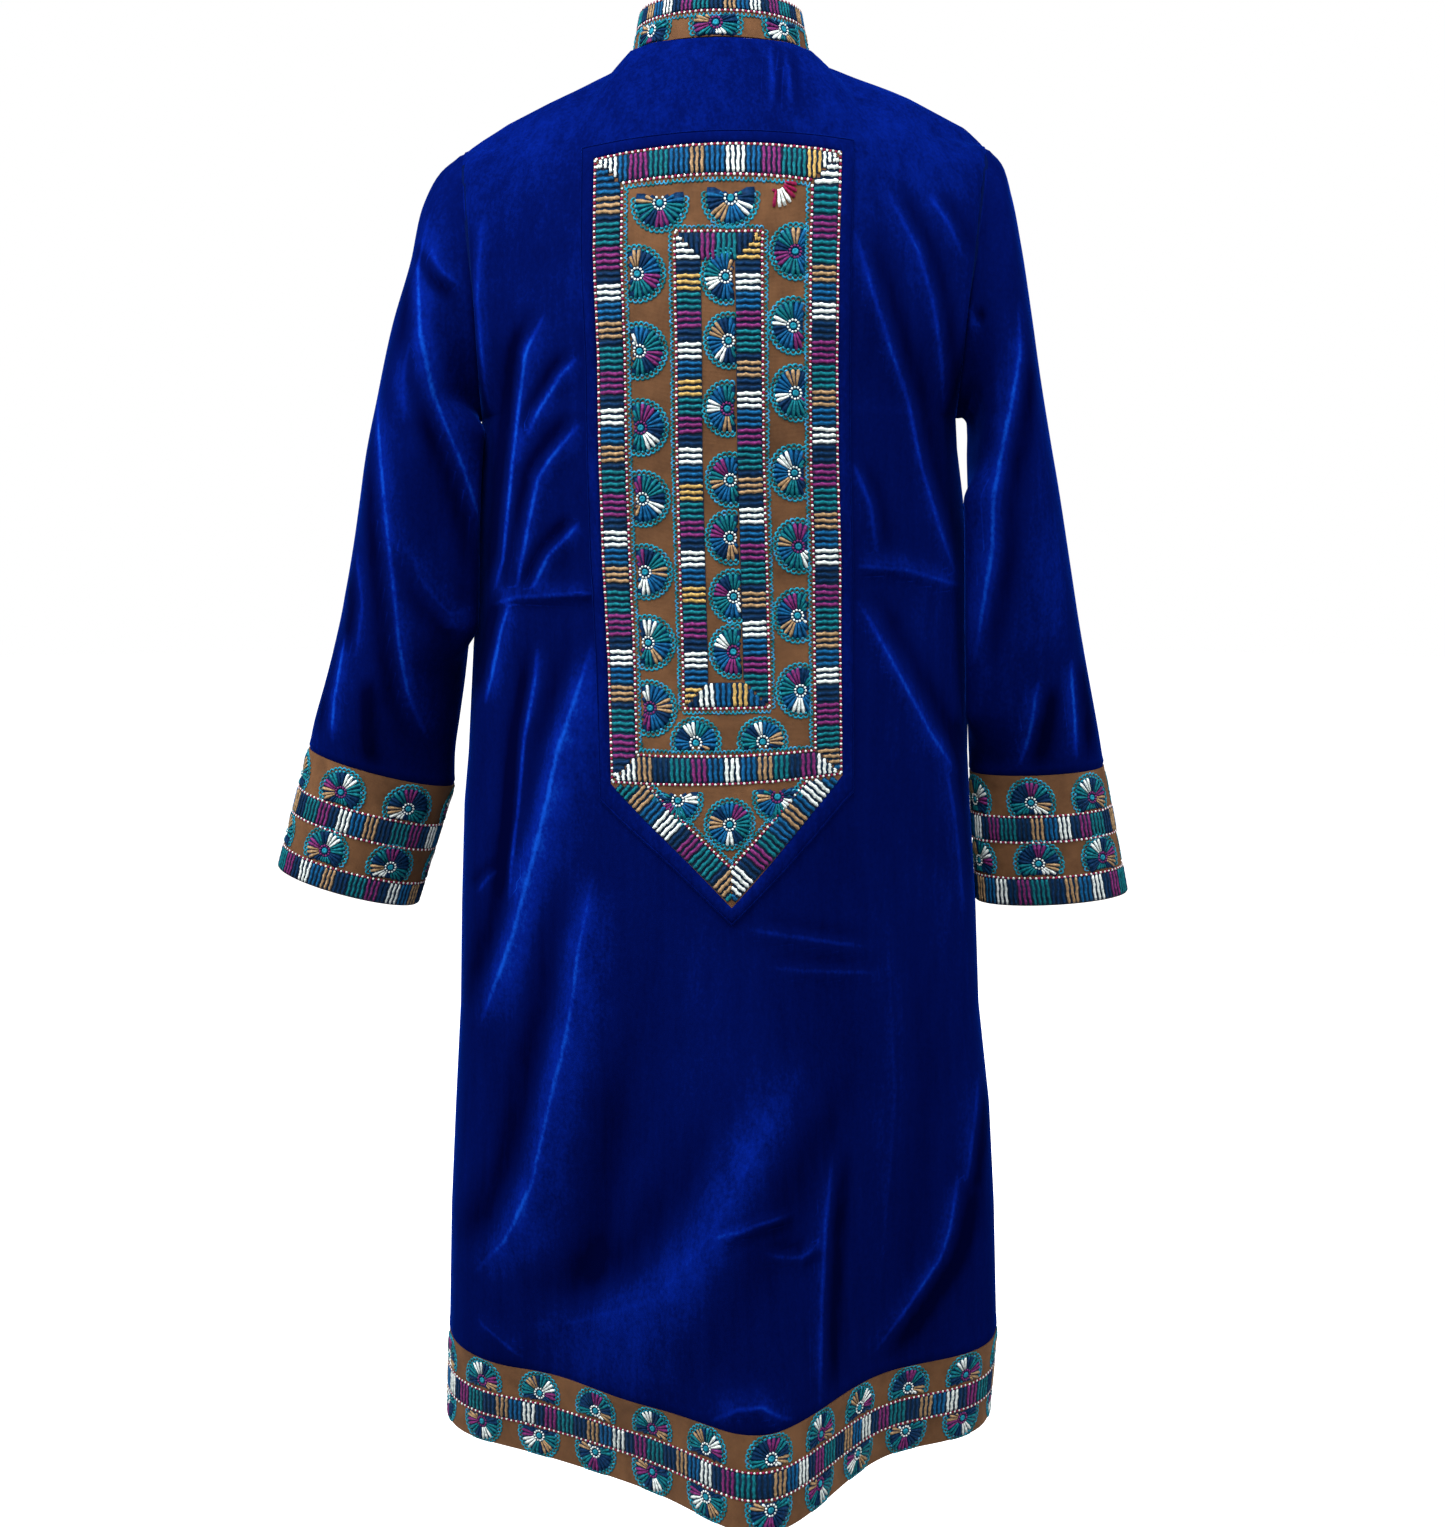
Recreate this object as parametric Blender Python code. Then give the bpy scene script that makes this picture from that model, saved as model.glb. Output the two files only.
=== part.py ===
"""Knee-length velvet coat with a stand collar, an embroidered back panel, cuffs and hem band.

Metres, +Z up. The front faces -Y and the wearer's left is +X. The origin is the centre of the
neck base. Each cut piece is a cloth wall: a grid of points on its outer face, and the same
points moved in along normals that neighbouring pieces share at their seams.
"""
import math

import bpy
import numpy as np

# Cloth
WALL = 0.0020
PANEL_WALL = 0.0012
SEAM_GAP = 0.0003
FRONT_GAP = 0.0030
# Least share of the wall kept where pieces meet at a sharp seam
THINNEST = 0.40

# Heights
SHOULDER_Z = {1: -0.068, -1: -0.064}
ARMPIT_Z = -0.262
HEM_SEAM_Z = -0.981
HEM_Z = -1.050

# Neck and armhole
NECK_HALF = 0.065
NECK_BACK = 0.065
NECK_FRONT = 0.075
NECK_DROP = 0.058
COLLAR_HEIGHT = 0.032
COLLAR_LEAN = 0.20
SHOULDER_X = {1: 0.190, -1: 0.196}
ARMPIT_X = {1: 0.180, -1: 0.177}
ARMHOLE_DEPTH = 0.058
ARMHOLE_INSET = 0.006
RING_STEPS = 8
# The yoke turns from the neck's curve to the shoulder's between these distances from the centre
YOKE_INNER = 0.040
YOKE_OUTER = 0.130
# How far the neck's curve widens down to the armpit
NECK_SPREAD = 0.10

# Shoulder line: distance from the centre, height
SHOULDER_LINE = {
    1: ((0.065, -0.001), (0.083, -0.012), (0.119, -0.030), (0.157, -0.048), (0.190, -0.068)),
    -1: ((0.065, -0.001), (0.092, -0.012), (0.138, -0.030), (0.179, -0.050), (0.196, -0.064)),
}
# Half width of the body under the arm: height, wearer's left, wearer's right
BODY_HALF = (
    (-0.262, 0.1800, 0.1770),
    (-0.285, 0.1830, 0.1785),
    (-0.310, 0.1845, 0.1820),
    (-0.340, 0.1860, 0.1860),
    (-0.400, 0.1870, 0.1885),
    (-0.437, 0.1900, 0.1890),
    (-0.476, 0.1925, 0.1900),
    (-0.515, 0.1950, 0.1905),
    (-0.554, 0.1990, 0.1930),
    (-0.633, 0.2025, 0.1990),
    (-0.714, 0.2050, 0.2030),
    (-0.796, 0.2105, 0.2130),
    (-0.879, 0.2155, 0.2185),
    (-0.981, 0.2190, 0.2225),
    (-1.050, 0.2220, 0.2180),
)
# Depth at the centre line: height, back, front, flatness of the back's sides
BODY_DEPTH = (
    (-0.262, 0.118, 0.125, 0.00),
    (-0.340, 0.114, 0.130, 0.02),
    (-0.400, 0.112, 0.128, 0.05),
    (-0.460, 0.118, 0.131, 0.08),
    (-0.550, 0.126, 0.138, 0.12),
    (-0.650, 0.131, 0.146, 0.15),
    (-0.800, 0.136, 0.156, 0.19),
    (-0.981, 0.140, 0.165, 0.22),
    (-1.050, 0.141, 0.168, 0.23),
)
# Folds of the back: x and z at the top, x and z at the bottom, half width, height at top, bottom
BACK_FOLDS = (
    (-0.020, -0.640, -0.033, -1.050, 0.042, 0.000, 0.058),
    (0.088, -0.640, 0.172, -0.960, 0.026, 0.002, 0.012),
    (-0.060, -0.740, 0.058, -0.960, 0.030, 0.000, 0.012),
    (-0.105, -0.700, -0.125, -1.050, 0.028, 0.000, -0.008),
    (0.115, -0.180, 0.150, -0.400, 0.018, 0.002, 0.009),
    (-0.110, -0.140, -0.165, -0.390, 0.018, 0.002, 0.008),
    (-0.110, -0.420, -0.170, -0.560, 0.020, 0.004, 0.008),
)
# Folds of the fronts, the same columns
FRONT_FOLDS = (
    (0.080, -0.560, 0.095, -1.050, 0.036, 0.000, 0.022),
    (-0.075, -0.600, -0.088, -1.050, 0.040, 0.000, 0.018),
    (0.110, -0.300, 0.150, -0.480, 0.022, 0.006, 0.003),
    (-0.120, -0.280, -0.155, -0.460, 0.022, 0.005, 0.003),
)
# Sleeve rings: outer x and z, inner x and z, half depth, middle y; the armhole ring comes first
SLEEVE_RINGS = {
    1: (
        (0.2085, -0.084, 0.1840, -0.2650, 0.0610, 0.000),
        (0.2195, -0.104, 0.1868, -0.2700, 0.0635, 0.000),
        (0.2300, -0.146, 0.1890, -0.2800, 0.0665, 0.000),
        (0.2440, -0.190, 0.1905, -0.2960, 0.0685, 0.000),
        (0.2570, -0.242, 0.1915, -0.3200, 0.0695, -0.001),
        (0.2672, -0.285, 0.1925, -0.3500, 0.0690, -0.002),
        (0.2750, -0.330, 0.1932, -0.3830, 0.0675, -0.003),
        (0.2835, -0.374, 0.1945, -0.4180, 0.0655, -0.005),
        (0.2940, -0.418, 0.1985, -0.4550, 0.0620, -0.007),
        (0.3065, -0.462, 0.2040, -0.4900, 0.0570, -0.009),
        (0.3165, -0.493, 0.2085, -0.5190, 0.0510, -0.011),
        (0.3215, -0.513, 0.2095, -0.5435, 0.0460, -0.012),
    ),
    -1: (
        (0.2075, -0.0765, 0.1825, -0.2610, 0.0610, 0.000),
        (0.2140, -0.097, 0.1865, -0.2650, 0.0635, 0.000),
        (0.2215, -0.131, 0.1885, -0.2770, 0.0665, 0.000),
        (0.2300, -0.178, 0.1885, -0.2950, 0.0685, 0.000),
        (0.2385, -0.228, 0.1895, -0.3200, 0.0695, -0.001),
        (0.2480, -0.277, 0.1905, -0.3500, 0.0690, -0.002),
        (0.2575, -0.3226, 0.1910, -0.3850, 0.0675, -0.003),
        (0.2665, -0.370, 0.1915, -0.4200, 0.0655, -0.005),
        (0.2755, -0.417, 0.1925, -0.4550, 0.0620, -0.007),
        (0.2850, -0.460, 0.1930, -0.4870, 0.0570, -0.009),
        (0.2935, -0.498, 0.1940, -0.5130, 0.0510, -0.011),
        (0.2993, -0.527, 0.1950, -0.5326, 0.0460, -0.012),
    ),
}
# Lower edge of each cuff, the same columns
CUFF_END = {
    1: (0.3494, -0.608, 0.2415, -0.639, 0.0400, -0.016),
    -1: (0.3213, -0.628, 0.2030, -0.636, 0.0400, -0.016),
}
CUFF_ROWS = 3

# Back panel
PANEL_TOP_Z = -0.0915
PANEL_ARCH = 0.0045
PANEL_FOOT_Z = -0.521
PANEL_POINT = 0.091
FRAME_WIDTH = 0.0093
FRAME_POINT = 0.0130
PANEL_COLUMNS = 5
# Where the panel's and the strip's edge columns meet the shoulder line
PANEL_EDGE_TOP = 0.089
FRAME_EDGE_TOP = 0.100
# Panel half width and centre carried over the whole back: height, half width, centre x
PANEL_LINES = (
    (0.000, 0.0893, 0.000),
    (-0.0895, 0.0872, 0.000),
    (-0.517, 0.0825, -0.0045),
    (-0.620, 0.0830, -0.0050),
    (-1.050, 0.1120, -0.0060),
)
# Shares of the panel half width taken by its columns, at the neck and lower down
NECK_SHARES = (0.0, 0.2785, 0.5147, 0.6725, 0.7279, 1.0)
PANEL_SHARES = (0.0, 0.20, 0.40, 0.60, 0.80, 1.0)
SIDE_COLUMNS = 6
# Rows of the back at its middle, between the neck and the panel's foot
UPPER_MIDDLE = (-0.001, -0.040, -0.0820, -0.0915)
PANEL_ROWS = 10
# Rows at the side seam, from the armpit down
SIDE_ROWS = (-0.310, -0.360, -0.410, -0.460, -0.508, -0.528)
LOWER_ROWS = 11

VELVET = (0.006, 0.020, 0.240, 1.0)
BROWN = (0.160, 0.085, 0.035, 1.0)


def table(rows, z, column):
    """Value of one column at a height, between rows that go down."""
    heights = [-row[0] for row in rows]
    return float(np.interp(-z, heights, [row[column] for row in rows]))


def smooth(t):
    """Soft step from 0 to 1."""
    t = min(max(t, 0.0), 1.0)
    return t * t * (3.0 - 2.0 * t)


def top_z(x, front):
    """Height of the neck edge or shoulder line above a point."""
    side = 1 if x >= 0 else -1
    if abs(x) < NECK_HALF:
        drop = NECK_DROP if front else 0.0
        return -0.001 - drop * math.sqrt(1.0 - (x / NECK_HALF) ** 2)
    line = SHOULDER_LINE[side]
    return float(np.interp(abs(x), [p[0] for p in line], [p[1] for p in line]))


def ring_angle(z, side):
    """Angle round the armhole at a height: 0 at the shoulder, pi at the armpit."""
    middle = 0.5 * (SHOULDER_Z[side] + ARMPIT_Z)
    half = 0.5 * (SHOULDER_Z[side] - ARMPIT_Z)
    return math.acos(min(max((z - middle) / half, -1.0), 1.0))


def edge_x(z, side):
    """Distance of the armhole or side seam from the centre."""
    if z <= ARMPIT_Z:
        return table(BODY_HALF, z, 1 if side > 0 else 2)
    angle = ring_angle(z, side)
    share = 0.5 * (1.0 + math.cos(angle))
    straight = ARMPIT_X[side] + (SHOULDER_X[side] - ARMPIT_X[side]) * share
    return straight - ARMHOLE_INSET * math.sin(angle)


def fold_height(x, z, folds):
    """Outward swell of the folds at a point seen from behind or in front."""
    total = 0.0
    for x0, z0, x1, z1, half, start, end in folds:
        share = (z0 - z) / (z0 - z1)
        fade = smooth((share + 0.25) / 0.5) * smooth((1.35 - share) / 0.35)
        held = min(max(share, 0.0), 1.0)
        middle = x0 + (x1 - x0) * share
        total += fade * (start + (end - start) * held) * math.exp(-(((x - middle) / half) ** 2) / 2.0)
    return total


def body_y(x, z, front):
    """Depth of the body from the side plane at a point; positive on both faces."""
    side = 1 if x >= 0 else -1
    depth = table(BODY_DEPTH, z, 2 if front else 1)
    across = min(abs(x) / edge_x(z, side), 1.0)
    if z <= ARMPIT_Z:
        angle = math.asin(across)
        flat = table(BODY_DEPTH, z, 3) * (0.4 if front else 1.0)
        y = depth * math.cos(angle) * (1.0 - flat * math.sin(2.0 * angle) ** 2)
        swell = 1.0
    else:
        top = top_z(x, front)
        rise = min(max((z - ARMPIT_Z) / max(top - ARMPIT_Z, 1e-6), 0.0), 1.0)
        inner = smooth((YOKE_OUTER - abs(x)) / (YOKE_OUTER - YOKE_INNER))
        weight = (1.0 - rise ** 3.0) ** (0.5 + 0.5 * inner)
        turn = math.sin(ring_angle(z, side))
        round_y = depth * (1.0 - across ** (2.0 + 0.6 * turn ** 2)) ** (0.5 + 0.25 * turn ** 2)
        reach = NECK_FRONT if front else NECK_BACK
        spread = NECK_HALF + NECK_SPREAD * math.sqrt(1.0 - rise)
        neck = reach * max(1.0 - (x / spread) ** 2, 0.0) ** min(0.5 + 2.0 * (1.0 - rise), 1.5)
        y = weight * round_y + (1.0 - weight) * neck + ARMHOLE_DEPTH * turn * across ** 5
        swell = weight
    folds = FRONT_FOLDS if front else BACK_FOLDS
    return y + swell * fold_height(x, z, folds) * (1.0 - across ** 6)


def column_x(column, z, middle, gap):
    """Distance from the centre of a column, counted outwards, at a height."""
    side = 1 if column >= 0 else -1
    count = abs(column)
    half = table(PANEL_LINES, z, 1)
    drift = table(PANEL_LINES, z, 2) * middle
    if count <= PANEL_COLUMNS:
        blend = smooth((z - PANEL_TOP_Z) / (top_z(0.0, False) - PANEL_TOP_Z))
        share = NECK_SHARES[count] * blend + PANEL_SHARES[count] * (1.0 - blend)
        x = side * half * share + drift
        return side * gap if count == 0 and gap else x
    inner = half + FRAME_WIDTH + side * drift
    edge = edge_x(z, side)
    start = math.asin(min(inner / edge, 1.0))
    share = (count - PANEL_COLUMNS - 1) / SIDE_COLUMNS
    return side * edge * math.sin(start + (0.5 * math.pi - start) * share)


def side_heights(side):
    """Heights of the rows at the armhole and side seam, shoulder to hem seam."""
    rows = []
    middle = 0.5 * (SHOULDER_Z[side] + ARMPIT_Z)
    half = 0.5 * (SHOULDER_Z[side] - ARMPIT_Z)
    for step in range(RING_STEPS + 1):
        rows.append(middle + half * math.cos(math.pi * step / RING_STEPS))
    rows.extend(SIDE_ROWS)
    start = rows[-1]
    for step in range(1, LOWER_ROWS + 1):
        rows.append(start + (HEM_SEAM_Z - start) * step / LOWER_ROWS)
    return rows


def middle_height(row, share, rows):
    """Height of a row of the back over the panel; share is 0 at its centre, 1 at its edge."""
    top = len(UPPER_MIDDLE) - 1
    arch = PANEL_ARCH * (1.0 - share ** 2)
    if row <= top:
        return UPPER_MIDDLE[row] + (arch if row > 1 else 0.0)
    foot = top + PANEL_ROWS
    if row <= foot:
        down = (row - top) / PANEL_ROWS
        point = PANEL_POINT * (1.0 - share) * down ** 2
        return PANEL_TOP_Z + (PANEL_FOOT_Z - PANEL_TOP_Z) * down - point + arch * (1.0 - down)
    frame_z = PANEL_FOOT_Z - FRAME_POINT
    if row == foot + 1:
        return frame_z - PANEL_POINT * (1.0 - share)
    total = len(rows) - 1 - (foot + 1)
    down = (row - foot - 1) / total
    return frame_z + (HEM_SEAM_Z - frame_z) * down - PANEL_POINT * (1.0 - share) * (1.0 - down) ** 2


def back_height(row, column, side_rows):
    """Height of a grid point of the back."""
    side = 1 if column >= 0 else -1
    rows = side_rows[side]
    count = abs(column)
    if row == 0:
        return None
    share = min(count / PANEL_COLUMNS, 1.0)
    middle = middle_height(row, share, rows)
    if count <= PANEL_COLUMNS + 1:
        return middle
    away = (count - PANEL_COLUMNS - 1) / SIDE_COLUMNS
    return middle + (rows[row] - middle) * smooth(away)


def back_point(row, column, side_rows):
    """Outer point of the back's grid."""
    if row == 0:
        return top_point(column, False)
    z = back_height(row, column, side_rows)
    x = column_x(column, z, 1.0, 0.0)
    return (x, body_y(x, z, False), z)


def top_point(column, front):
    """Point of the neck edge or shoulder seam, shared by the back and the fronts."""
    side = 1 if column >= 0 else -1
    count = abs(column)
    if front and count == 0:
        side = 1
    if count < PANEL_COLUMNS:
        angle = 0.5 * math.pi * count / (PANEL_COLUMNS - 1)
        x = side * NECK_HALF * math.sin(angle)
        if count == PANEL_COLUMNS - 1:
            return (x, 0.0, -0.001)
        reach = -NECK_FRONT if front else NECK_BACK
        drop = NECK_DROP * math.cos(angle) if front else 0.0
        return (x, reach * math.cos(angle), -0.001 - drop)
    inner = PANEL_EDGE_TOP
    if count > PANEL_COLUMNS:
        share = (count - PANEL_COLUMNS - 1) / SIDE_COLUMNS
        inner = FRAME_EDGE_TOP + (SHOULDER_X[side] - FRAME_EDGE_TOP) * math.sin(0.5 * math.pi * share)
    return (side * inner, 0.0, top_z(inner * side, front))


def front_point(row, count, side, side_rows):
    """Outer point of a front's grid; count runs from the centre front to the side."""
    rows = side_rows[side]
    last = PANEL_COLUMNS + 1 + SIDE_COLUMNS
    gap = 0.5 * FRONT_GAP
    if row == 0:
        x, y, z = top_point(side * count, True)
        if count == 0:
            x = side * gap
        return (x, y, z)
    away = smooth(count / last)
    top = -0.001 - NECK_DROP
    down = (rows[row] - rows[0]) / (HEM_SEAM_Z - rows[0])
    middle = top + (HEM_SEAM_Z - top) * down
    z = middle + (rows[row] - middle) * away
    if count == last:
        z = rows[row]
    x = column_x(side * count, z, 0.0, gap if count == 0 else 0.0)
    if count == 0:
        x = side * gap
    return (x, -body_y(x, z, True), z)


def ring_points(ring, side, steps):
    """Points round a sleeve ring, from the outer point over the back, under and up the front."""
    outer_x, outer_z, inner_x, inner_z, depth, middle_y = ring
    points = []
    for step in range(2 * steps):
        angle = math.pi * step / steps
        share = 0.5 * (1.0 + math.cos(angle))
        x = side * (inner_x + (outer_x - inner_x) * share)
        z = inner_z + (outer_z - inner_z) * share
        points.append((x, middle_y + depth * math.sin(angle), z))
    return points


def armhole_points(side, side_rows):
    """Points round the armhole, the same as the edges of the back and the front."""
    points = []
    for step in range(2 * RING_STEPS):
        row = step if step <= RING_STEPS else 2 * RING_STEPS - step
        z = side_rows[side][row]
        y = ARMHOLE_DEPTH * math.sin(math.pi * step / RING_STEPS)
        points.append((side * edge_x(z, side), y, z))
    return points


def band_rows(top_row, rows, side_fn):
    """Rows of a band that goes down from a row of points."""
    grid = [top_row]
    for step in range(1, rows + 1):
        grid.append([side_fn(point, step / rows) for point in top_row])
    return grid


def hem_point(point, share, front):
    """Point of the hem band below a point of the hem seam."""
    x, y, z = point
    side = 1 if x >= 0 else -1
    lower = z + (HEM_Z - HEM_SEAM_Z) * share
    wide = x * edge_x(lower, side) / edge_x(z, side)
    if abs(x) < 0.5 * FRONT_GAP + 1e-6:
        wide = x
    if abs(y) < 1e-6:
        return (wide, 0.0, lower)
    depth = body_y(wide, lower, front)
    return (wide, -depth if front else depth, lower)


def collar_point(point, share):
    """Point of the collar above a point of the neck edge."""
    x, y, z = point
    reach = math.hypot(x, y)
    rise = COLLAR_HEIGHT / math.hypot(1.0, COLLAR_LEAN)
    shift = COLLAR_LEAN * rise * share / reach
    return (x * (1.0 - shift), y * (1.0 - shift), z + rise * share)


def all_cells(rows, columns):
    """Every cell of a grid with this many intervals."""
    return [(r, c) for r in range(rows) for c in range(columns)]


class Piece:
    """One cut piece: a grid of outer points, the cells it uses and how its wall faces."""

    def __init__(self, name, grid, colour, cells=None, wrap=False, flip=False):
        self.name = name
        self.points = np.array(grid, dtype=float)
        self.wrap = wrap
        self.flip = flip
        self.colour = colour
        rows, columns = self.points.shape[:2]
        self.cells = cells or all_cells(rows - 1, columns if wrap else columns - 1)

    def triangles(self):
        """Triangles of the outer face, as grid index pairs, facing out."""
        columns = self.points.shape[1]
        found = []
        for r, c in self.cells:
            d = (c + 1) % columns
            quad = [(r, c), (r, d), (r + 1, d), (r + 1, c)]
            pair = [(quad[0], quad[2], quad[1]), (quad[0], quad[3], quad[2])]
            if 2 * c < columns - 1:
                pair = [(quad[0], quad[3], quad[1]), (quad[1], quad[3], quad[2])]
            if self.flip:
                pair = [(a, c2, b) for a, b, c2 in pair]
            found.extend(pair)
        return found

    def normals(self):
        """Area-weighted normal sums at the grid points."""
        sums = np.zeros_like(self.points)
        for a, b, c in self.triangles():
            pa, pb, pc = self.points[a], self.points[b], self.points[c]
            face = np.cross(pb - pa, pc - pa)
            for index in (a, b, c):
                sums[index] += face
        return sums


def shared_normals(pieces):
    """Normals of each piece, made one wherever pieces meet, and shorter at a sharp seam."""
    sums = {}
    counts = {}
    for piece in pieces:
        own = piece.normals()
        for index in np.ndindex(own.shape[:2]):
            length = np.linalg.norm(own[index])
            if length > 0.0:
                key = tuple(np.round(piece.points[index], 6) + 0.0)
                sums[key] = sums.get(key, np.zeros(3)) + own[index] / length
                counts[key] = counts.get(key, 0) + 1
    result = {}
    for piece in pieces:
        out = np.zeros_like(piece.points)
        for index in np.ndindex(out.shape[:2]):
            key = tuple(np.round(piece.points[index], 6) + 0.0)
            if key in sums:
                length = np.linalg.norm(sums[key])
                out[index] = sums[key] / length * max((length / counts[key]) ** 1.5, THINNEST)
        result[piece.name] = out
    return result


def edge_insets(points, normals, faces, gap):
    """Shift of each edge point, in the cloth, that opens half of the seam gap."""
    used = set()
    for a, b, c in faces:
        used.update(((a, b), (b, c), (c, a)))
    inward = {}
    for a, b in used:
        if (b, a) in used:
            continue
        along = points[b] - points[a]
        for index in (a, b):
            across = np.cross(normals[index], along)
            length = np.linalg.norm(across)
            if length > 0.0:
                inward.setdefault(index, []).append(across / length)
    shifts = {}
    for index, ways in inward.items():
        total = sum(ways)
        scale = 1.0 + (float(np.dot(ways[0], ways[1])) if len(ways) > 1 else 1.0)
        if len(ways) == 1:
            total = ways[0] * 2.0
        shifts[index] = 0.5 * gap * total / max(scale, 0.3)
    return shifts


def build_wall(piece, normals, lift, wall):
    """Closed mesh of a piece: outer face, inner face and the cut edges."""
    faces = piece.triangles()
    shifts = edge_insets(piece.points, normals, faces, SEAM_GAP)
    order = {}
    outer = []
    inner = []
    for face in faces:
        for index in face:
            if index in order:
                continue
            order[index] = len(outer)
            base = piece.points[index] + shifts.get(index, 0.0)
            outer.append(base + normals[index] * lift)
            inner.append(base + normals[index] * (lift - wall))
    count = len(outer)
    polygons = []
    edges = set()
    for a, b, c in faces:
        i, j, k = order[a], order[b], order[c]
        polygons.append((i, j, k))
        polygons.append((i + count, k + count, j + count))
        edges.update(((i, j), (j, k), (k, i)))
    # The cut edge is split from the same corner as the edge it is sewn to
    for i, j in sorted(edges):
        if (j, i) in edges:
            continue
        if tuple(np.round(outer[j], 4)) < tuple(np.round(outer[i], 4)):
            polygons.append((j, i, i + count))
            polygons.append((j, i + count, j + count))
        else:
            polygons.append((j, i, j + count))
            polygons.append((i, i + count, j + count))
    return outer + inner, polygons


def paint(name, colour):
    """Plain cloth material."""
    material = bpy.data.materials.new(name)
    material.use_nodes = True
    shader = material.node_tree.nodes["Principled BSDF"]
    shader.inputs["Base Color"].default_value = colour
    shader.inputs["Roughness"].default_value = 0.85
    return material


def add_object(collection, piece, vertices, polygons):
    """Puts one piece in the collection as a mesh object."""
    mesh = bpy.data.meshes.new(piece.name)
    mesh.from_pydata([tuple(v) for v in vertices], [], polygons)
    mesh.update()
    mesh.materials.append(paint(piece.name + "_cloth", piece.colour))
    collection.objects.link(bpy.data.objects.new(piece.name, mesh))


def body_pieces(side_rows):
    """Back, fronts, collar and hem bands."""
    last = PANEL_COLUMNS + 1 + SIDE_COLUMNS
    count = len(side_rows[1])
    columns = range(-last, last + 1)
    back = [[back_point(r, c, side_rows) for c in columns] for r in range(count)]
    pieces = [Piece("back", back, VELVET, flip=True)]
    fronts = {}
    for side, name in ((1, "front_left"), (-1, "front_right")):
        order = range(0, last + 1)
        fronts[side] = [[front_point(r, c, side, side_rows) for c in order] for r in range(count)]
        pieces.append(Piece(name, fronts[side], VELVET, flip=side < 0))
    neck = PANEL_COLUMNS - 1
    ring = list(fronts[-1][0][: neck + 1])
    ring += [back[0][last + c] for c in range(-neck + 1, neck)]
    ring += list(reversed(fronts[1][0][: neck + 1]))
    collar = [ring] + [[collar_point(p, share) for p in ring] for share in (0.5, 1.0)]
    pieces.append(Piece("collar", collar, BROWN))
    hem = band_rows(back[-1], 2, lambda p, share: hem_point(p, share, False))
    pieces.append(Piece("hem_band_back", hem, BROWN, flip=True))
    for side, name in ((1, "hem_band_front_left"), (-1, "hem_band_front_right")):
        hem = band_rows(fronts[side][-1], 2, lambda p, share: hem_point(p, share, True))
        pieces.append(Piece(name, hem, BROWN, flip=side < 0))
    return pieces


def sleeve_pieces(side_rows):
    """Sleeves and cuffs."""
    pieces = []
    for side, word in ((1, "left"), (-1, "right")):
        rings = [armhole_points(side, side_rows)]
        rings += [ring_points(ring, side, RING_STEPS) for ring in SLEEVE_RINGS[side]]
        pieces.append(Piece("sleeve_" + word, rings, VELVET, wrap=True, flip=side < 0))
        first = np.array(SLEEVE_RINGS[side][-1])
        end = np.array(CUFF_END[side])
        cuff = []
        for row in range(CUFF_ROWS + 1):
            ring = first + (end - first) * row / CUFF_ROWS
            cuff.append(ring_points(ring, side, RING_STEPS))
        pieces.append(Piece("cuff_" + word, cuff, BROWN, wrap=True, flip=side < 0))
    return pieces


def panel_pieces(back):
    """Back panel and the velvet strip round it, on the back's own points."""
    middle = PANEL_COLUMNS + 1 + SIDE_COLUMNS
    top = len(UPPER_MIDDLE) - 1
    foot = top + PANEL_ROWS
    inside = [(r, c) for r in range(top, foot) for c in range(middle - PANEL_COLUMNS, middle + PANEL_COLUMNS)]
    wide = range(middle - PANEL_COLUMNS - 1, middle + PANEL_COLUMNS + 1)
    frame = [(r, c) for r in range(top - 1, foot + 1) for c in wide if (r, c) not in set(inside)]
    panel = Piece("back_panel", back.points, BROWN, cells=inside, flip=True)
    strip = Piece("panel_frame", back.points, VELVET, cells=frame, flip=True)
    return panel, strip


def main():
    """Builds every piece."""
    for item in list(bpy.data.objects):
        bpy.data.objects.remove(item, do_unlink=True)
    collection = bpy.data.collections.new("velvet_coat")
    bpy.context.scene.collection.children.link(collection)
    side_rows = {side: side_heights(side) for side in (1, -1)}
    pieces = body_pieces(side_rows) + sleeve_pieces(side_rows)
    normals = shared_normals(pieces)
    for piece in pieces:
        vertices, polygons = build_wall(piece, normals[piece.name], 0.0, WALL)
        add_object(collection, piece, vertices, polygons)
    for piece in panel_pieces(pieces[0]):
        lift = SEAM_GAP + PANEL_WALL
        vertices, polygons = build_wall(piece, normals["back"], lift, PANEL_WALL)
        add_object(collection, piece, vertices, polygons)


main()
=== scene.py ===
"""Looks of the knee-length velvet coat with an embroidered back panel, cuffs, collar and hem band.

The cloth forms repeat the sizes of the coat's cut pieces, in metres. The front faces -Y, the
wearer's left is +X and the origin is the centre of the neck base.
"""
import logging
import math
from dataclasses import dataclass, field
from enum import Enum

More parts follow.
